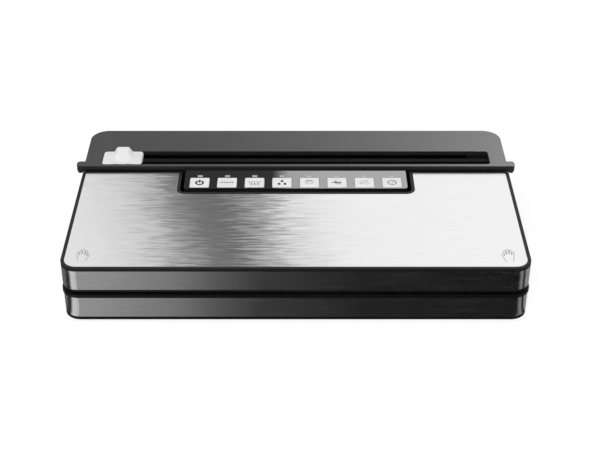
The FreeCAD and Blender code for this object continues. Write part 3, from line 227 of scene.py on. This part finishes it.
def winding_material():
    made = Shader("copper_winding")
    made.set(Metallic=0.9)
    turns = made.texture("ShaderNodeTexWave", 900, {},
                         wave_type="BANDS", bands_direction="Y")["Fac"]
    made.colour(turns, (0.2, 0.07, 0.03), (0.6, 0.3, 0.15), start=0.1, end=0.9)
    made.rough(turns, 0.3, 0.5)
    made.bump(turns, strength=0.5, depth_mm=0.3)
    return made.material


Y_WAYS, Z_WAYS = (0, 1, 0), (0, 0, 1)
plate_steel = steel("plate_steel", 0.78, streak=(55, 520, 520), fine=(60, 4200, 4200), across=Y_WAYS,
                    rough=(0.12, 0.14), anisotropy=0.95, lean=0.024, contrast=0.012)
band_steel = steel("band_steel", 0.74, streak=(18, 18, 700), fine=(30, 30, 5200), across=Z_WAYS,
                   rough=(0.12, 0.18), anisotropy=0.9, lean=0.02, contrast=0.05)
plated = steel("plated_steel", 0.5, streak=300, fine=2500, across=Z_WAYS, rough=(0.25, 0.45))
ground = steel("ground_steel", 0.7, streak=(60, 60, 900), fine=(300, 300, 5000), across=Z_WAYS,
               rough=(0.15, 0.3), anisotropy=0.3)
bare_aluminium = steel("bare_aluminium", 0.72, streak=(10, 900, 900), fine=(60, 5000, 5000),
                       across=Y_WAYS, rough=(0.28, 0.42), anisotropy=0.5)
core_iron = steel("core_sheets", 0.22, streak=(40, 2400, 40), fine=(300, 4000, 300), across=Y_WAYS,
                  rough=(0.4, 0.6))
casing = plastic("casing_black", 0.011, (0.42, 0.52), grain=2600, specular=0.2)
# The base's shell gets a darker, duller copy of the casing plastic: painted shade for the contact shadow
# along the base's bottom strip.
under_shell_painted_shade = plastic("shell_matt_painted_shade", 0.006, (0.6, 0.75), grain=2200, specular=0.08)
cover_black = plastic("cover_black", 0.015, (0.42, 0.52), grain=2600)
trim = plastic("trim_black", 0.005, (0.38, 0.5), grain=2600, specular=0.22)
inside = plastic("inside_black", 0.035, (0.45, 0.62), grain=1800, bump=0.25)
rail_grey = plastic("rail_grey", 0.007, (0.5, 0.65), grain=2200, specular=0.1)
rubber = plastic("rubber_black", 0.022, (0.6, 0.8), grain=1500, bump=0.4, specular=0.35)
silicone = plastic("silicone_grey", 0.34, (0.4, 0.55), grain=900, bump=0.15, specular=0.45, mottle=0.08)
panel_gloss = gloss("panel_gloss", 0.008, (0.04, 0.08), specular=1.0, coat=1.0, coat_ior=3.0)
key_white = gloss("key_white", 0.86, (0.4, 0.5), specular=0.3)
cutter_white = gloss("cutter_white", 0.83, (0.5, 0.6), specular=0.25)
lens_grey = gloss("lens_grey", 0.48, (0.12, 0.2))
ink_dark = ink("ink_dark", 0.02)
ink_mid = ink("ink_mid", 0.05)
ink_plate = ink("ink_plate", 0.45)
ink_pale = ink("ink_pale", 0.36)
foam = foam_material()
tape = tape_material()
board = board_material()
winding = winding_material()


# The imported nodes: a finish, and the width in mm of the rounding along their edges

WELD_MM = 0.002
FLAT_DEGREES = 0.8
EDGE_DEGREES = 35


def round_edges(piece, width_mm, segments, degrees, miter):
    """Rounds the edges of a piece, and keeps its flats flat."""
    bevel = piece.modifiers.new("rounding", "BEVEL")
    bevel.width = width_mm * MM
    bevel.segments = segments
    bevel.limit_method = "ANGLE"
    bevel.angle_limit = math.radians(degrees)
    bevel.miter_outer = miter
    bevel.harden_normals = True
    normals = piece.modifiers.new("normals", "WEIGHTED_NORMAL")
    normals.keep_sharp = True


def dress(name, finish, rounding):
    piece = nodes[name]
    piece.data.materials.clear()
    piece.data.materials.append(finish)
    if not rounding:
        return
    weld = piece.modifiers.new("weld", "WELD")
    weld.merge_threshold = WELD_MM * MM
    flat = piece.modifiers.new("flat", "DECIMATE")
    flat.decimate_type = "DISSOLVE"
    flat.angle_limit = math.radians(FLAT_DEGREES)
    round_edges(piece, rounding, segments=3, degrees=EDGE_DEGREES, miter="MITER_ARC")


KEYS = [f"key_{number}" for number in range(1, 9)]
FINISHES = {
    "base_shell": (under_shell_painted_shade, 0.3), "base_band": (band_steel, 0), "deck": (trim, 0.6),
    "chamber_tray": (inside, 0.4), "seal_bar": (bare_aluminium, 0.3), "heating_strip": (plated, 0),
    "ptfe_tape": (tape, 0.1), "suction_nozzle": (inside, 0.2), "machine_cover": (inside, 0.8),
    "hinge_post_left": (inside, 0.3), "hinge_post_right": (inside, 0.3),
    "panel_housing": (casing, 0.25),
    "control_panel": (panel_gloss, 0.3), "indicator_lenses": (lens_grey, 0.2),
    "control_board": (board, 0), "key_switches": (inside, 0),
    "transformer_core": (core_iron, 0), "transformer_coil": (winding, 0),
    "pump_motor": (plated, 0.4), "pump_head": (inside, 0.4), "power_board": (board, 0),
    "release_valve": (inside, 0.3), "vacuum_hose": (silicone, 0), "lid_switch": (inside, 0.2),
    "roll_bin": (casing, 0.5), "cord_gland": (rubber, 0.4), "rubber_feet": (rubber, 0.5),
    "base_screws": (plated, 0.3), "lid_shell": (casing, 0.7), "lid_plate": (plate_steel, 0.2),
    "lid_band": (band_steel, 0), "lid_inner": (inside, 0.6), "pressure_strip": (silicone, 0.6),
    "latch_hooks": (inside, 0.4), "lid_hinge_pins": (plated, 0.2), "lid_screws": (plated, 0.3),
    "roll_cover": (cover_black, 0.5), "cutter_rail": (rail_grey, 0.2),
    "cover_hinge_pins": (plated, 0.1),
    "cutter_blade": (ground, 0.05), "left_release": (trim, 0.5), "right_release": (trim, 0.5),
    **{key: (key_white, 0.3) for key in KEYS},
}
for node_name, (finish, rounding) in FINISHES.items():
    dress(node_name, finish, rounding)


# New pieces

def piece_from(name, draw, finish, body):
    """A smooth piece that a function draws, which rides on a body."""
    mesh = bmesh.new()
    draw(mesh)
    bmesh.ops.recalc_face_normals(mesh, faces=mesh.faces)
    data = bpy.data.meshes.new(name)
    mesh.to_mesh(data)
    mesh.free()
    data.materials.append(finish)
    for face in data.polygons:
        face.use_smooth = True
    obj = bpy.data.objects.new(name, data)
    scene.collection.objects.link(obj)
    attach(obj, body)
    return obj


def box_mm(node):
    return [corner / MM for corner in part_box(node)]


def bridge(mesh, a, b, closed):
    """Faces between two rows of points, which run round a loop if they are closed."""
    for i in range(len(a) if closed else len(a) - 1):
        j = (i + 1) % len(a)
        mesh.faces.new((a[i], a[j], b[j], b[i]))


def bridge_round(mesh, rows, closed):
    """Faces from each row to the next, and from the last to the first."""
    for a, b in zip(rows, rows[1:] + rows[:1]):
        bridge(mesh, a, b, closed)


def prism(mesh, outline, low, high):
    """A closed prism over a flat outline of (x, y) points, which run round it once."""
    bottom = [mesh.verts.new((x, y, low)) for x, y in outline]
    top = [mesh.verts.new((x, y, high)) for x, y in outline]
    mesh.faces.new(bottom[::-1])
    mesh.faces.new(top)
    bridge(mesh, bottom, top, closed=True)


def arc(x, y, radius, start, end, count):
    """Points on a circle, by angles in degrees."""
    points = []
    for i in range(count + 1):
        turn = math.radians(start + (end - start) * i / count)
        points.append((x + radius * math.cos(turn), y + radius * math.sin(turn)))
    return points


CAP_TURNS = [math.radians(degrees) for degrees in (30, 55, 75)]


def ribbon(mesh, path, width, low, high, closed=False):
    """A drawn line of an even width along a path, with round ends."""
    path = [Vector(point) for point in path]
    halves = [width / 2] * len(path)
    if not closed:
        for end, before in ((0, 1), (-1, -2)):
            away = (path[end] - path[before]).normalized() * width / 2
            cap = [path[end] + away * math.sin(turn) for turn in CAP_TURNS]
            thin = [width / 2 * math.cos(turn) for turn in CAP_TURNS]
            path = cap[::-1] + path if end == 0 else path + cap
            halves = thin[::-1] + halves if end == 0 else halves + thin
    count = len(path)
    normals = []
    for i in range(count):
        ahead = path[(i + 1) % count] if closed or i + 1 < count else path[i]
        behind = path[i - 1] if closed or i else path[i]
        along = (ahead - behind).normalized()
        normals.append(Vector((-along.y, along.x)))
    left = [point + normal * wide for point, normal, wide in zip(path, normals, halves)]
    right = [point - normal * wide for point, normal, wide in zip(path, normals, halves)]
    rows = []
    for side, z in ((left, low), (right, low), (right, high), (left, high)):
        rows.append([mesh.verts.new((x, y, z)) for x, y in side])
    bridge_round(mesh, rows, closed)
    if not closed:
        for end in (0, -1):
            mesh.faces.new([row[end] for row in rows])


def rounded_path(points, closed, steps):
    """A smooth line through points, by Catmull and Rom's rule."""
    count = len(points)
    made = []
    for i in range(count if closed else count - 1):
        around = range(i - 1, i + 3)
        at = [points[k % count if closed else min(max(k, 0), count - 1)] for k in around]
        for step in range(steps):
            t = step / steps
            weights = (-t + 2 * t**2 - t**3, 2 - 5 * t**2 + 3 * t**3,
                       t + 4 * t**2 - 3 * t**3, -t**2 + t**3)
            made.append(tuple(sum(w * p[axis] for w, p in zip(weights, at)) / 2 for axis in (0, 1)))
    return made if closed else made + [points[-1]]


# Signs on the keys, in mm from the middle of each key. A stroke is a filled outline, an open line or
# a loop.

INK_SUNK, KEY_INK, HAND_INK = 0.02, 0.05, 0.04
DROP_TIP = 1.9


def dot(x, y, radius):
    return ("fill", arc(x, y, radius, start=0, end=345, count=23), 0)


def drop(x, y, radius):
    tip = (x, y + radius * DROP_TIP)
    return ("fill", [tip] + arc(x, y, radius, start=150, end=390, count=22), 0)


def line(width, *points):
    return ("line", points, width)


def loop(width, points):
    return ("loop", points, width)


ROW = [-4.8 + 2.4 * i for i in range(5)]
BOWL = arc(-0.2, 1.2, 3.6, 190, 350, 20)
LEAF = [(-4.2, -1.4), (-2.6, 1.2), (0.2, 3.0), (2.8, 3.3), (2.2, 1.0), (0.4, -1.6), (-2.0, -2.4)]
SIGNS = (
    (ink_dark, [line(1.7, *arc(0, -0.3, 3.2, 124, 416, 40)), line(1.6, (0, 0.4), (0, 4.0))]),
    (ink_mid, [dot(x, 0.3, 0.85) for x in ROW]),
    (ink_mid, [dot(x, 0.9, 0.7) for x in ROW] + [drop(x, -2.6, 0.9) for x in (-3.0, 0.0, 3.0)]),
    (ink_dark, [drop(0, 2.2, 1.35), drop(-2.7, -2.4, 1.4), drop(2.7, -2.4, 1.4)]),
    (ink_pale, [line(1.5, (-2.8, 3.2), (2.2, 3.2)), line(0.7, *BOWL),
                line(0.6, (-3.9, 1.2), (3.5, 1.2))]),
    (ink_dark, [line(1.3, (-3.9, 0.4), (3.6, 0.4)), line(0.9, (-1.0, 0.4), (-1.0, 3.4))]
     + [line(0.65, (x, -0.7), (x, -3.0)) for x in (-0.9, 1.0, 2.8)]),
    (ink_pale, [loop(0.5, rounded_path(LEAF, closed=True, steps=5)), line(0.4, (-4.2, -1.4), (1.2, 1.6)),
                line(0.5, (2.4, -3.2), (4.2, -0.6))]),
    (ink_mid, [loop(0.75, arc(0, 0.1, 3.7, 0, 354, 48)),
               line(0.6, (-1.6, 0.3), (-0.4, -1.2), (1.8, 1.6))]),
)


def sign_mesh(strokes, centre):
    def draw(mesh):
        low, high = centre.z - INK_SUNK * MM, centre.z + KEY_INK * MM
        for kind, points, width in strokes:
            placed = [(centre.x + x * MM, centre.y + y * MM) for x, y in points]
            if kind == "fill":
                prism(mesh, placed, low, high)
            else:
                ribbon(mesh, placed, width * MM, low, high, closed=kind == "loop")
    return draw


for key, (sign_ink, strokes) in zip(KEYS, SIGNS):
    low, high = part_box(key)
    middle = Vector(((low.x + high.x) / 2, (low.y + high.y) / 2, high.z))
    piece_from(f"{key}_sign", sign_mesh(strokes, middle), sign_ink, key)


# Open hands printed near the front corners of the plate, where the lid is pressed down

HAND = [(-3.2, -8.6), (-4.9, -3.2), (-5.6, 0.8), (-5.0, 2.2), (-4.1, 1.0), (-3.6, -0.6), (-3.7, 4.2),
        (-3.3, 6.6), (-2.3, 6.6), (-2.0, 4.4), (-1.8, 1.4), (-1.5, 5.6), (-1.0, 8.4), (0.1, 8.4),
        (0.4, 5.6), (0.5, 1.6), (1.1, 5.0), (1.6, 7.4), (2.6, 7.2), (2.7, 4.8), (2.4, 1.0),
        (3.2, 3.0), (4.1, 4.8), (5.0, 4.2), (4.7, 2.0), (4.0, -1.2), (3.5, -5.4), (2.6, -8.6)]
HAND_LINE = 0.65
HAND_Y = -91.2
HAND_PLACES = ((-177.5, 1), (177.2, -1))


def hands_mesh(mesh):
    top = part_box("lid_plate")[1].z
    outline = rounded_path(HAND, closed=False, steps=4)
    for hand_x, side in HAND_PLACES:
        path = [((hand_x - side * x) * MM, (HAND_Y + y) * MM) for x, y in outline]
        ribbon(mesh, path, HAND_LINE * MM, top - INK_SUNK * MM, top + HAND_INK * MM)


piece_from("hand_signs", hands_mesh, ink_plate, "lid")


# Foam seals: a loop round the chamber with a crowned top

SEAL_WIDTH, SEAL_CORNER, SEAL_SOFT = 7, 19, 1.6
SEAL_ROUNDING, SEAL_DEGREES = 0.2, 60
CROWN_TURNS = [math.radians(degrees) for degrees in (30, 60, 90)]


def seal_mesh(node, crown_up):
    def draw(mesh):
        low, high = box_mm(node)
        middle = (low + high) / 2
        corner_x = (high.x - low.x) / 2 - SEAL_CORNER
        corner_y = (high.y - low.y) / 2 - SEAL_CORNER
        base, crest, rise = (low.z, high.z, 1) if crown_up else (high.z, low.z, -1)
        section = [(0, base), (0, crest - rise * SEAL_SOFT)]
        for turn in CROWN_TURNS:
            inset = SEAL_SOFT * (1 - math.cos(turn))
            section.append((inset, crest - rise * SEAL_SOFT * (1 - math.sin(turn))))
        section += [(SEAL_WIDTH - inset, z) for inset, z in section[::-1]]
        rings = []
        for inset, z in section:
            path = []
            for sx, sy, start in ((1, 1, 0), (-1, 1, 90), (-1, -1, 180), (1, -1, 270)):
                path += arc(middle.x + sx * corner_x, middle.y + sy * corner_y,
                            SEAL_CORNER - inset, start, start + 90, count=14)
            rings.append([mesh.verts.new((x * MM, y * MM, z * MM)) for x, y in path])
        bridge_round(mesh, rings, closed=True)
    return draw


for node, body, crown_up in (("lower_seal", "base", True), ("upper_seal", "lid", False)):
    seal = piece_from(f"{node}_foam", seal_mesh(node, crown_up), foam, body)
    round_edges(seal, SEAL_ROUNDING, segments=2, degrees=SEAL_DEGREES, miter="MITER_SHARP")
    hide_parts(node)


# The cutter's finger piece: flat wings, a smooth hump, a thumb scoop that runs out at the front, and
# legs that hold on to the rail

CUTTER_ROWS, CUTTER_COLUMNS = 44, 76
CUTTER_CORNER, CUTTER_EDGE = 3.0, 0.9
CUTTER_CREASE = 50
# The foot and the top of the hump's flanks: at its ends in mm from the middle, at the front in shares
# of the half depth, and at the back in mm from the back edge
HUMP_HEIGHT = 6.0
HUMP_ENDS, HUMP_FRONT, HUMP_BACK = (10.0, 4.4), (-0.3, 0.75), (0.4, -2.3)
SCOOP_RADIUS, SCOOP_DEPTH, SCOOP_STRETCH, SCOOP_SETBACK = 7.2, 1.6, 7.4, 4.4
# How far the front edge is drawn back below the scoop, from where to where, and at the underside
NIP, NIP_ENDS, UNDERCUT = 0.8, (9.5, 6.5), 5.8
RAIL_GAP, LEG_OUTER, TOE_REACH, TOE_HEIGHT = 0.4, 2.4, 2.0, 1.2


def eased(low, high, value):
    """Runs smoothly from 0 at low to 1 at high."""
    t = min(max((value - low) / (high - low), 0.0), 1.0)
    return t * t * (3 - 2 * t)


def cutter_height(x, y, half_x, half_y):
    """The finger piece's height in mm over its wings, with x and y from its middle."""
    hump = eased(*HUMP_ENDS, abs(x))
    hump *= eased(half_y * HUMP_FRONT[0], half_y * HUMP_FRONT[1], y)
    hump *= eased(half_y + HUMP_BACK[0], half_y + HUMP_BACK[1], y)
    scoop_x = max(abs(x) - SCOOP_STRETCH / 2, 0)
    scoop_y = y + half_y - SCOOP_SETBACK
    ball = SCOOP_RADIUS**2 - scoop_x**2 - scoop_y**2
    scoop = max(math.sqrt(max(ball, 0)) - SCOOP_RADIUS + SCOOP_DEPTH, 0)
    away_x = max(abs(x) - (half_x - CUTTER_CORNER), 0)
    away_y = max(abs(y) - (half_y - CUTTER_CORNER), 0)
    inside_edge = CUTTER_CORNER - math.hypot(away_x, away_y)
    if away_x == 0 and away_y == 0:
        inside_edge = min(half_x - abs(x), half_y - abs(y))
    lost = 1 - min(max(inside_edge / CUTTER_EDGE, 0), 1)
    edge = CUTTER_EDGE * (1 - math.sqrt(1 - lost * lost))
    return HUMP_HEIGHT * hump - scoop - edge


def cutter_mesh(mesh):
    low, high = box_mm("cutter_slider")
    rail_low, rail_high = box_mm("cutter_rail")
    middle = (low + high) / 2
    half_x, half_y = (high.x - low.x) / 2, (high.y - low.y) / 2
    wing_top, wing_low = high.z - HUMP_HEIGHT, rail_high.z + RAIL_GAP

    def spot(i, j):
        """A point of the grid, which is drawn in at the round corners."""
        x = half_x * (2 * i / CUTTER_COLUMNS - 1)
        y = half_y * (2 * j / CUTTER_ROWS - 1)
        a = max(abs(x) - half_x + CUTTER_CORNER, 0) / CUTTER_CORNER
        b = max(abs(y) - half_y + CUTTER_CORNER, 0) / CUTTER_CORNER
        if a and b:
            x = math.copysign(half_x - CUTTER_CORNER * (1 - a * math.sqrt(1 - b * b / 2)), x)
            y = math.copysign(half_y - CUTTER_CORNER * (1 - b * math.sqrt(1 - a * a / 2)), y)
        return x, y

    def sheet(height, pull):
        """A grid of faces at a height, whose front is pulled back."""
        rows = []
        for j in range(CUTTER_ROWS + 1):
            row = []
            for i in range(CUTTER_COLUMNS + 1):
                x, y = spot(i, j)
                place_y = middle.y + y + pull(x) * (1 - y / half_y) / 2
                row.append(mesh.verts.new(((middle.x + x) * MM, place_y * MM, height(x, y) * MM)))
            rows.append(row)
        for a, b in zip(rows, rows[1:]):
            bridge(mesh, a, b, closed=False)
        return rows

    def rim(rows):
        right = [row[-1] for row in rows]
        left = [row[0] for row in rows]
        return rows[0][:-1] + right[:-1] + rows[-1][:0:-1] + left[:0:-1]

    top = sheet(lambda x, y: wing_top + cutter_height(x, y, half_x, half_y),
                lambda x: NIP * eased(*NIP_ENDS, abs(x)))
    bottom = sheet(lambda x, y: wing_low, lambda x: UNDERCUT)
    bridge(mesh, rim(top), rim(bottom), closed=True)
    ends_x = (low.x + CUTTER_CORNER, high.x - CUTTER_CORNER)
    for sign, edge in ((-1, rail_low.y), (1, rail_high.y)):
        inner, outer, toe = edge + sign * RAIL_GAP, edge + sign * LEG_OUTER, edge - sign * TOE_REACH
        toe_top = low.z + TOE_HEIGHT
        section = [(inner, wing_low), (outer, wing_low), (outer, low.z),
                   (toe, low.z), (toe, toe_top), (inner, toe_top)]
        ends = [[mesh.verts.new((x * MM, y * MM, z * MM)) for y, z in section] for x in ends_x]
        bridge(mesh, *ends, closed=True)
        for end in ends:
            mesh.faces.new(end)


cutter = piece_from("cutter_finger_piece", cutter_mesh, cutter_white, "cutter")
creases = cutter.modifiers.new("edges", "EDGE_SPLIT")
creases.split_angle = math.radians(CUTTER_CREASE)
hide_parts("cutter_slider")


# Lips inside the cover's lift tabs, which close the view between each tab and the side of the roll
# bay: in mm from the bay's side, from the front of the cutter and from the top of the lid

LIP_X, LIP_Y, LIP_Z = (0.15, 1.2), (-3.35, 3.0), (-2.5, 0.5)


def lips_mesh(mesh):
    bin_low, bin_high = box_mm("roll_bin")
    cutter_front = box_mm("cutter_slider")[0].y
    lid_top = box_mm("lid_shell")[1].z
    near, far = ((cutter_front + y) * MM for y in LIP_Y)
    low, high = ((lid_top + z) * MM for z in LIP_Z)
    for sign, side in ((-1, bin_low.x), (1, bin_high.x)):
        inner, outer = ((side + sign * x) * MM for x in LIP_X)
        prism(mesh, [(inner, near), (outer, near), (outer, far), (inner, far)], low, high)


piece_from("tab_lips", lips_mesh, cover_black, "roll_cover")


# Stage: a pale floor, cards that the steel and the gloss reflect, lamps and the camera

def stage_mesh(name, corners, finish):
    data = bpy.data.meshes.new(name)
    data.from_pydata(corners, [], [list(range(len(corners)))])
    data.materials.append(finish)
    obj = bpy.data.objects.new(name, data)
    scene.collection.objects.link(obj)
    return obj


def level_corners(x, y, z):
    return [(x[0], y[0], z), (x[1], y[0], z), (x[1], y[1], z), (x[0], y[1], z)]


def upright_corners(x, y, z):
    return [(x[0], y, z[0]), (x[1], y, z[0]), (x[1], y, z[1]), (x[0], y, z[1])]


def bare_material(name):
    """A material without a surface, and its node tree."""
    material = bpy.data.materials.new(name)
    material.use_nodes = True
    material.node_tree.nodes.clear()
    return material, material.node_tree


def seen_rays(tree):
    """One for rays that show a surface as it is: from the camera, in a reflection or through glass."""
    path = tree.nodes.new("ShaderNodeLightPath")
    total = path.outputs["Is Camera Ray"]
    for name in ("Is Glossy Ray", "Is Transmission Ray"):
        most = tree.nodes.new("ShaderNodeMath")
        most.operation = "MAXIMUM"
        tree.links.new(total, most.inputs[0])
        tree.links.new(path.outputs[name], most.inputs[1])
        total = most.outputs["Value"]
    return total


FLOOR_REACH = 30.0
FLOOR_LIT, FLOOR_SHOWN, FLOOR_GLOW = 0.8, 0.3, 0.78


def floor_material():
    """Pale where it lights the part, and white with a soft shadow where it is seen."""
    material, tree = bare_material("floor_pale")
    plain = tree.nodes.new("ShaderNodeBsdfDiffuse")
    plain.inputs["Color"].default_value = (*grey(FLOOR_LIT), 1)
    shaded = tree.nodes.new("ShaderNodeBsdfDiffuse")
    shaded.inputs["Color"].default_value = (*grey(FLOOR_SHOWN), 1)
    glow = tree.nodes.new("ShaderNodeEmission")
    glow.inputs["Strength"].default_value = FLOOR_GLOW
    shown = tree.nodes.new("ShaderNodeAddShader")
    tree.links.new(shaded.outputs["BSDF"], shown.inputs[0])
    tree.links.new(glow.outputs["Emission"], shown.inputs[1])
    mix = tree.nodes.new("ShaderNodeMixShader")
    tree.links.new(seen_rays(tree), mix.inputs["Fac"])
    tree.links.new(plain.outputs["BSDF"], mix.inputs[1])
    tree.links.new(shown.outputs["Shader"], mix.inputs[2])
    out = tree.nodes.new("ShaderNodeOutputMaterial")
    tree.links.new(mix.outputs["Shader"], out.inputs["Surface"])
    return material


FLOOR_SPAN = (-FLOOR_REACH, FLOOR_REACH)
stage_mesh("floor", level_corners(FLOOR_SPAN, FLOOR_SPAN, 0), floor_material())

SLANT_HEIGHT = 1.1
FRONT_GAP, FRONT_Z, SECTOR_Z = 0.002, 0.0006, 0.0012
SECTOR_REACH, SECTOR_STEPS = 0.4, 8
CORNER_X, CORNER_Y = 0.181, -0.0965


def card_material(name, stops, span, strength, slant):
    """A glow whose brightness runs along X through (place, level) stops.

    The slant moves the stops along X with the height.
    """
    material, tree = bare_material(name)
    place = tree.nodes.new("ShaderNodeTexCoord")
    along = tree.nodes.new("ShaderNodeVectorMath")
    along.operation = "DOT_PRODUCT"
    along.inputs[1].default_value = (1, 0, -slant)
    tree.links.new(place.outputs["Object"], along.inputs[0])
    scaled = tree.nodes.new("ShaderNodeMapRange")
    scaled.inputs["From Min"].default_value = span[0] - slant * SLANT_HEIGHT
    scaled.inputs["From Max"].default_value = span[1] - slant * SLANT_HEIGHT
    tree.links.new(along.outputs["Value"], scaled.inputs["Value"])
    ramp = tree.nodes.new("ShaderNodeValToRGB")
    elements = ramp.color_ramp.elements
    elements.remove(elements[1])
    elements[0].position = 0
    elements[0].color = (*grey(stops[0][1]), 1)
    for where, level in stops:
        elements.new((where - span[0]) / (span[1] - span[0])).color = (*grey(level), 1)
    tree.links.new(scaled.outputs["Result"], ramp.inputs["Fac"])
    glow = tree.nodes.new("ShaderNodeEmission")
    glow.inputs["Strength"].default_value = strength
    tree.links.new(ramp.outputs["Color"], glow.inputs["Color"])
    out = tree.nodes.new("ShaderNodeOutputMaterial")
    tree.links.new(glow.outputs["Emission"], out.inputs["Surface"])
    return material


def card(name, corners, stops, span, strength=1.0, slant=0.0):
    """A glowing card that shows in reflections alone."""
    made = stage_mesh(name, corners, card_material(name, stops, span, strength, slant))
    made.visible_camera = False
    made.visible_diffuse = False
    made.visible_shadow = False
    made.visible_transmission = False


def wall_card(name, x, y, z, stops, strength, slant=0.0):
    """An upright card, whose brightness runs along its width."""
    card(name, upright_corners(x, y, z), stops, x, strength, slant)


def sector_card(name, side, start, end, level):
    """An even card on the floor round a front corner of the body, between two headings from the front."""
    corners = [(side * CORNER_X, CORNER_Y, SECTOR_Z)]
    for i in range(SECTOR_STEPS + 1):
        heading = math.radians(start + (end - start) * i / SECTOR_STEPS)
        corners.append((side * (CORNER_X + SECTOR_REACH * math.sin(heading)),
                        CORNER_Y - SECTOR_REACH * math.cos(heading), SECTOR_Z))
    card(name, corners, [(-1, level), (1, level)], (-1, 1))


wall_card("back_card", x=(-1.6, 1.6), y=1.5, z=(0.1, 3.0), strength=1.34, slant=0.2, stops=[
    (-1.6, 0.78), (-0.5, 0.73), (-0.35, 0.56), (-0.22, 0.07), (-0.16, 0.07), (-0.1, 0.4), (0.0, 0.7),
    (0.1, 0.81), (0.5, 0.85)])
wall_card("panel_card", x=(-0.3, -0.015), y=1.49, z=(0.88, 1.03), strength=1.34, stops=[
    (-0.3, 0.05), (-0.05, 0.05), (-0.015, 0.75)])
wall_card("front_wall", x=(-1.2, 1.2), y=-1.6, z=(0.95, 3.2), strength=0.15, stops=[
    (-1.2, 1.0), (1.2, 1.0)])
front_x = (-0.6, 0.6)
front_y = (-1.2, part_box("base_band")[0].y - FRONT_GAP)
card("front_card", level_corners(front_x, front_y, FRONT_Z), span=front_x, stops=[
    (-0.18, 0.365), (-0.11, 0.235), (-0.07, 0.115), (-0.03, 0.047), (0.06, 0.015), (0.2, 0.01)])
SECTORS = {
    "left": (-1, ((12, 22, 0.6), (22, 46, 0.69), (46, 54, 0.3), (54, 84, 0.04), (84, 180, 0.15))),
    "right": (1, ((34, 42, 0.08), (42, 60, 0.22), (60, 64, 0.1), (64, 80, 0.03), (80, 180, 0.3))),
}
for side_name, (side, sectors) in SECTORS.items():
    for number, (start, end, level) in enumerate(sectors):
        sector_card(f"{side_name}_card_{number}", side, start, end, level)

SKY_LIT, SKY_SHOWN = 0.55, 1.0
world = bpy.data.worlds.new("studio")
scene.world = world
world.use_nodes = True
sky = world.node_tree.nodes["Background"]
sky.inputs["Color"].default_value = (1, 1, 1, 1)
strength = world.node_tree.nodes.new("ShaderNodeMapRange")
strength.inputs["To Min"].default_value = SKY_LIT
strength.inputs["To Max"].default_value = SKY_SHOWN
world.node_tree.links.new(seen_rays(world.node_tree), strength.inputs["Value"])
world.node_tree.links.new(strength.outputs["Result"], sky.inputs["Strength"])

LAMP_AIM = Vector((0, 0, 0))


def lamp(name, place, size, power):
    """A square lamp that points at the part and isn't reflected."""
    data = bpy.data.lights.new(name, "AREA")
    data.size = size
    data.energy = power
    made = bpy.data.objects.new(name, data)
    made.location = place
    made.rotation_euler = (LAMP_AIM - Vector(place)).to_track_quat("-Z", "Y").to_euler()
    made.visible_glossy = False
    scene.collection.objects.link(made)
    return made


lamp("top_lamp", place=(0, 0.1, 1.7), size=1.6, power=5)
# The cover's sheen grows towards the right. Its lamp is reflected, and lights the cover alone, because
# the steel would turn white in it.
sheen = lamp("cover_sheen", place=(0.9, 1.45, 1.4), size=0.7, power=36)
sheen.visible_glossy = True
lit = bpy.data.collections.new("lit_by_cover_sheen")
lit.objects.link(nodes["roll_cover"])
sheen.light_linking.receiver_collection = lit
lamp("front_lamp", place=(-0.4, -1.7, 1.4), size=1.0, power=20)

camera_data = bpy.data.cameras.new("camera")
camera_data.sensor_width = 36
camera_data.lens = 77.29
camera_data.shift_x = 0.00704
camera = bpy.data.objects.new("camera", camera_data)
camera.location = (0, -0.96617, 0.67314)
camera.rotation_euler = (math.radians(56.08), 0, 0)
scene.collection.objects.link(camera)
scene.camera = camera
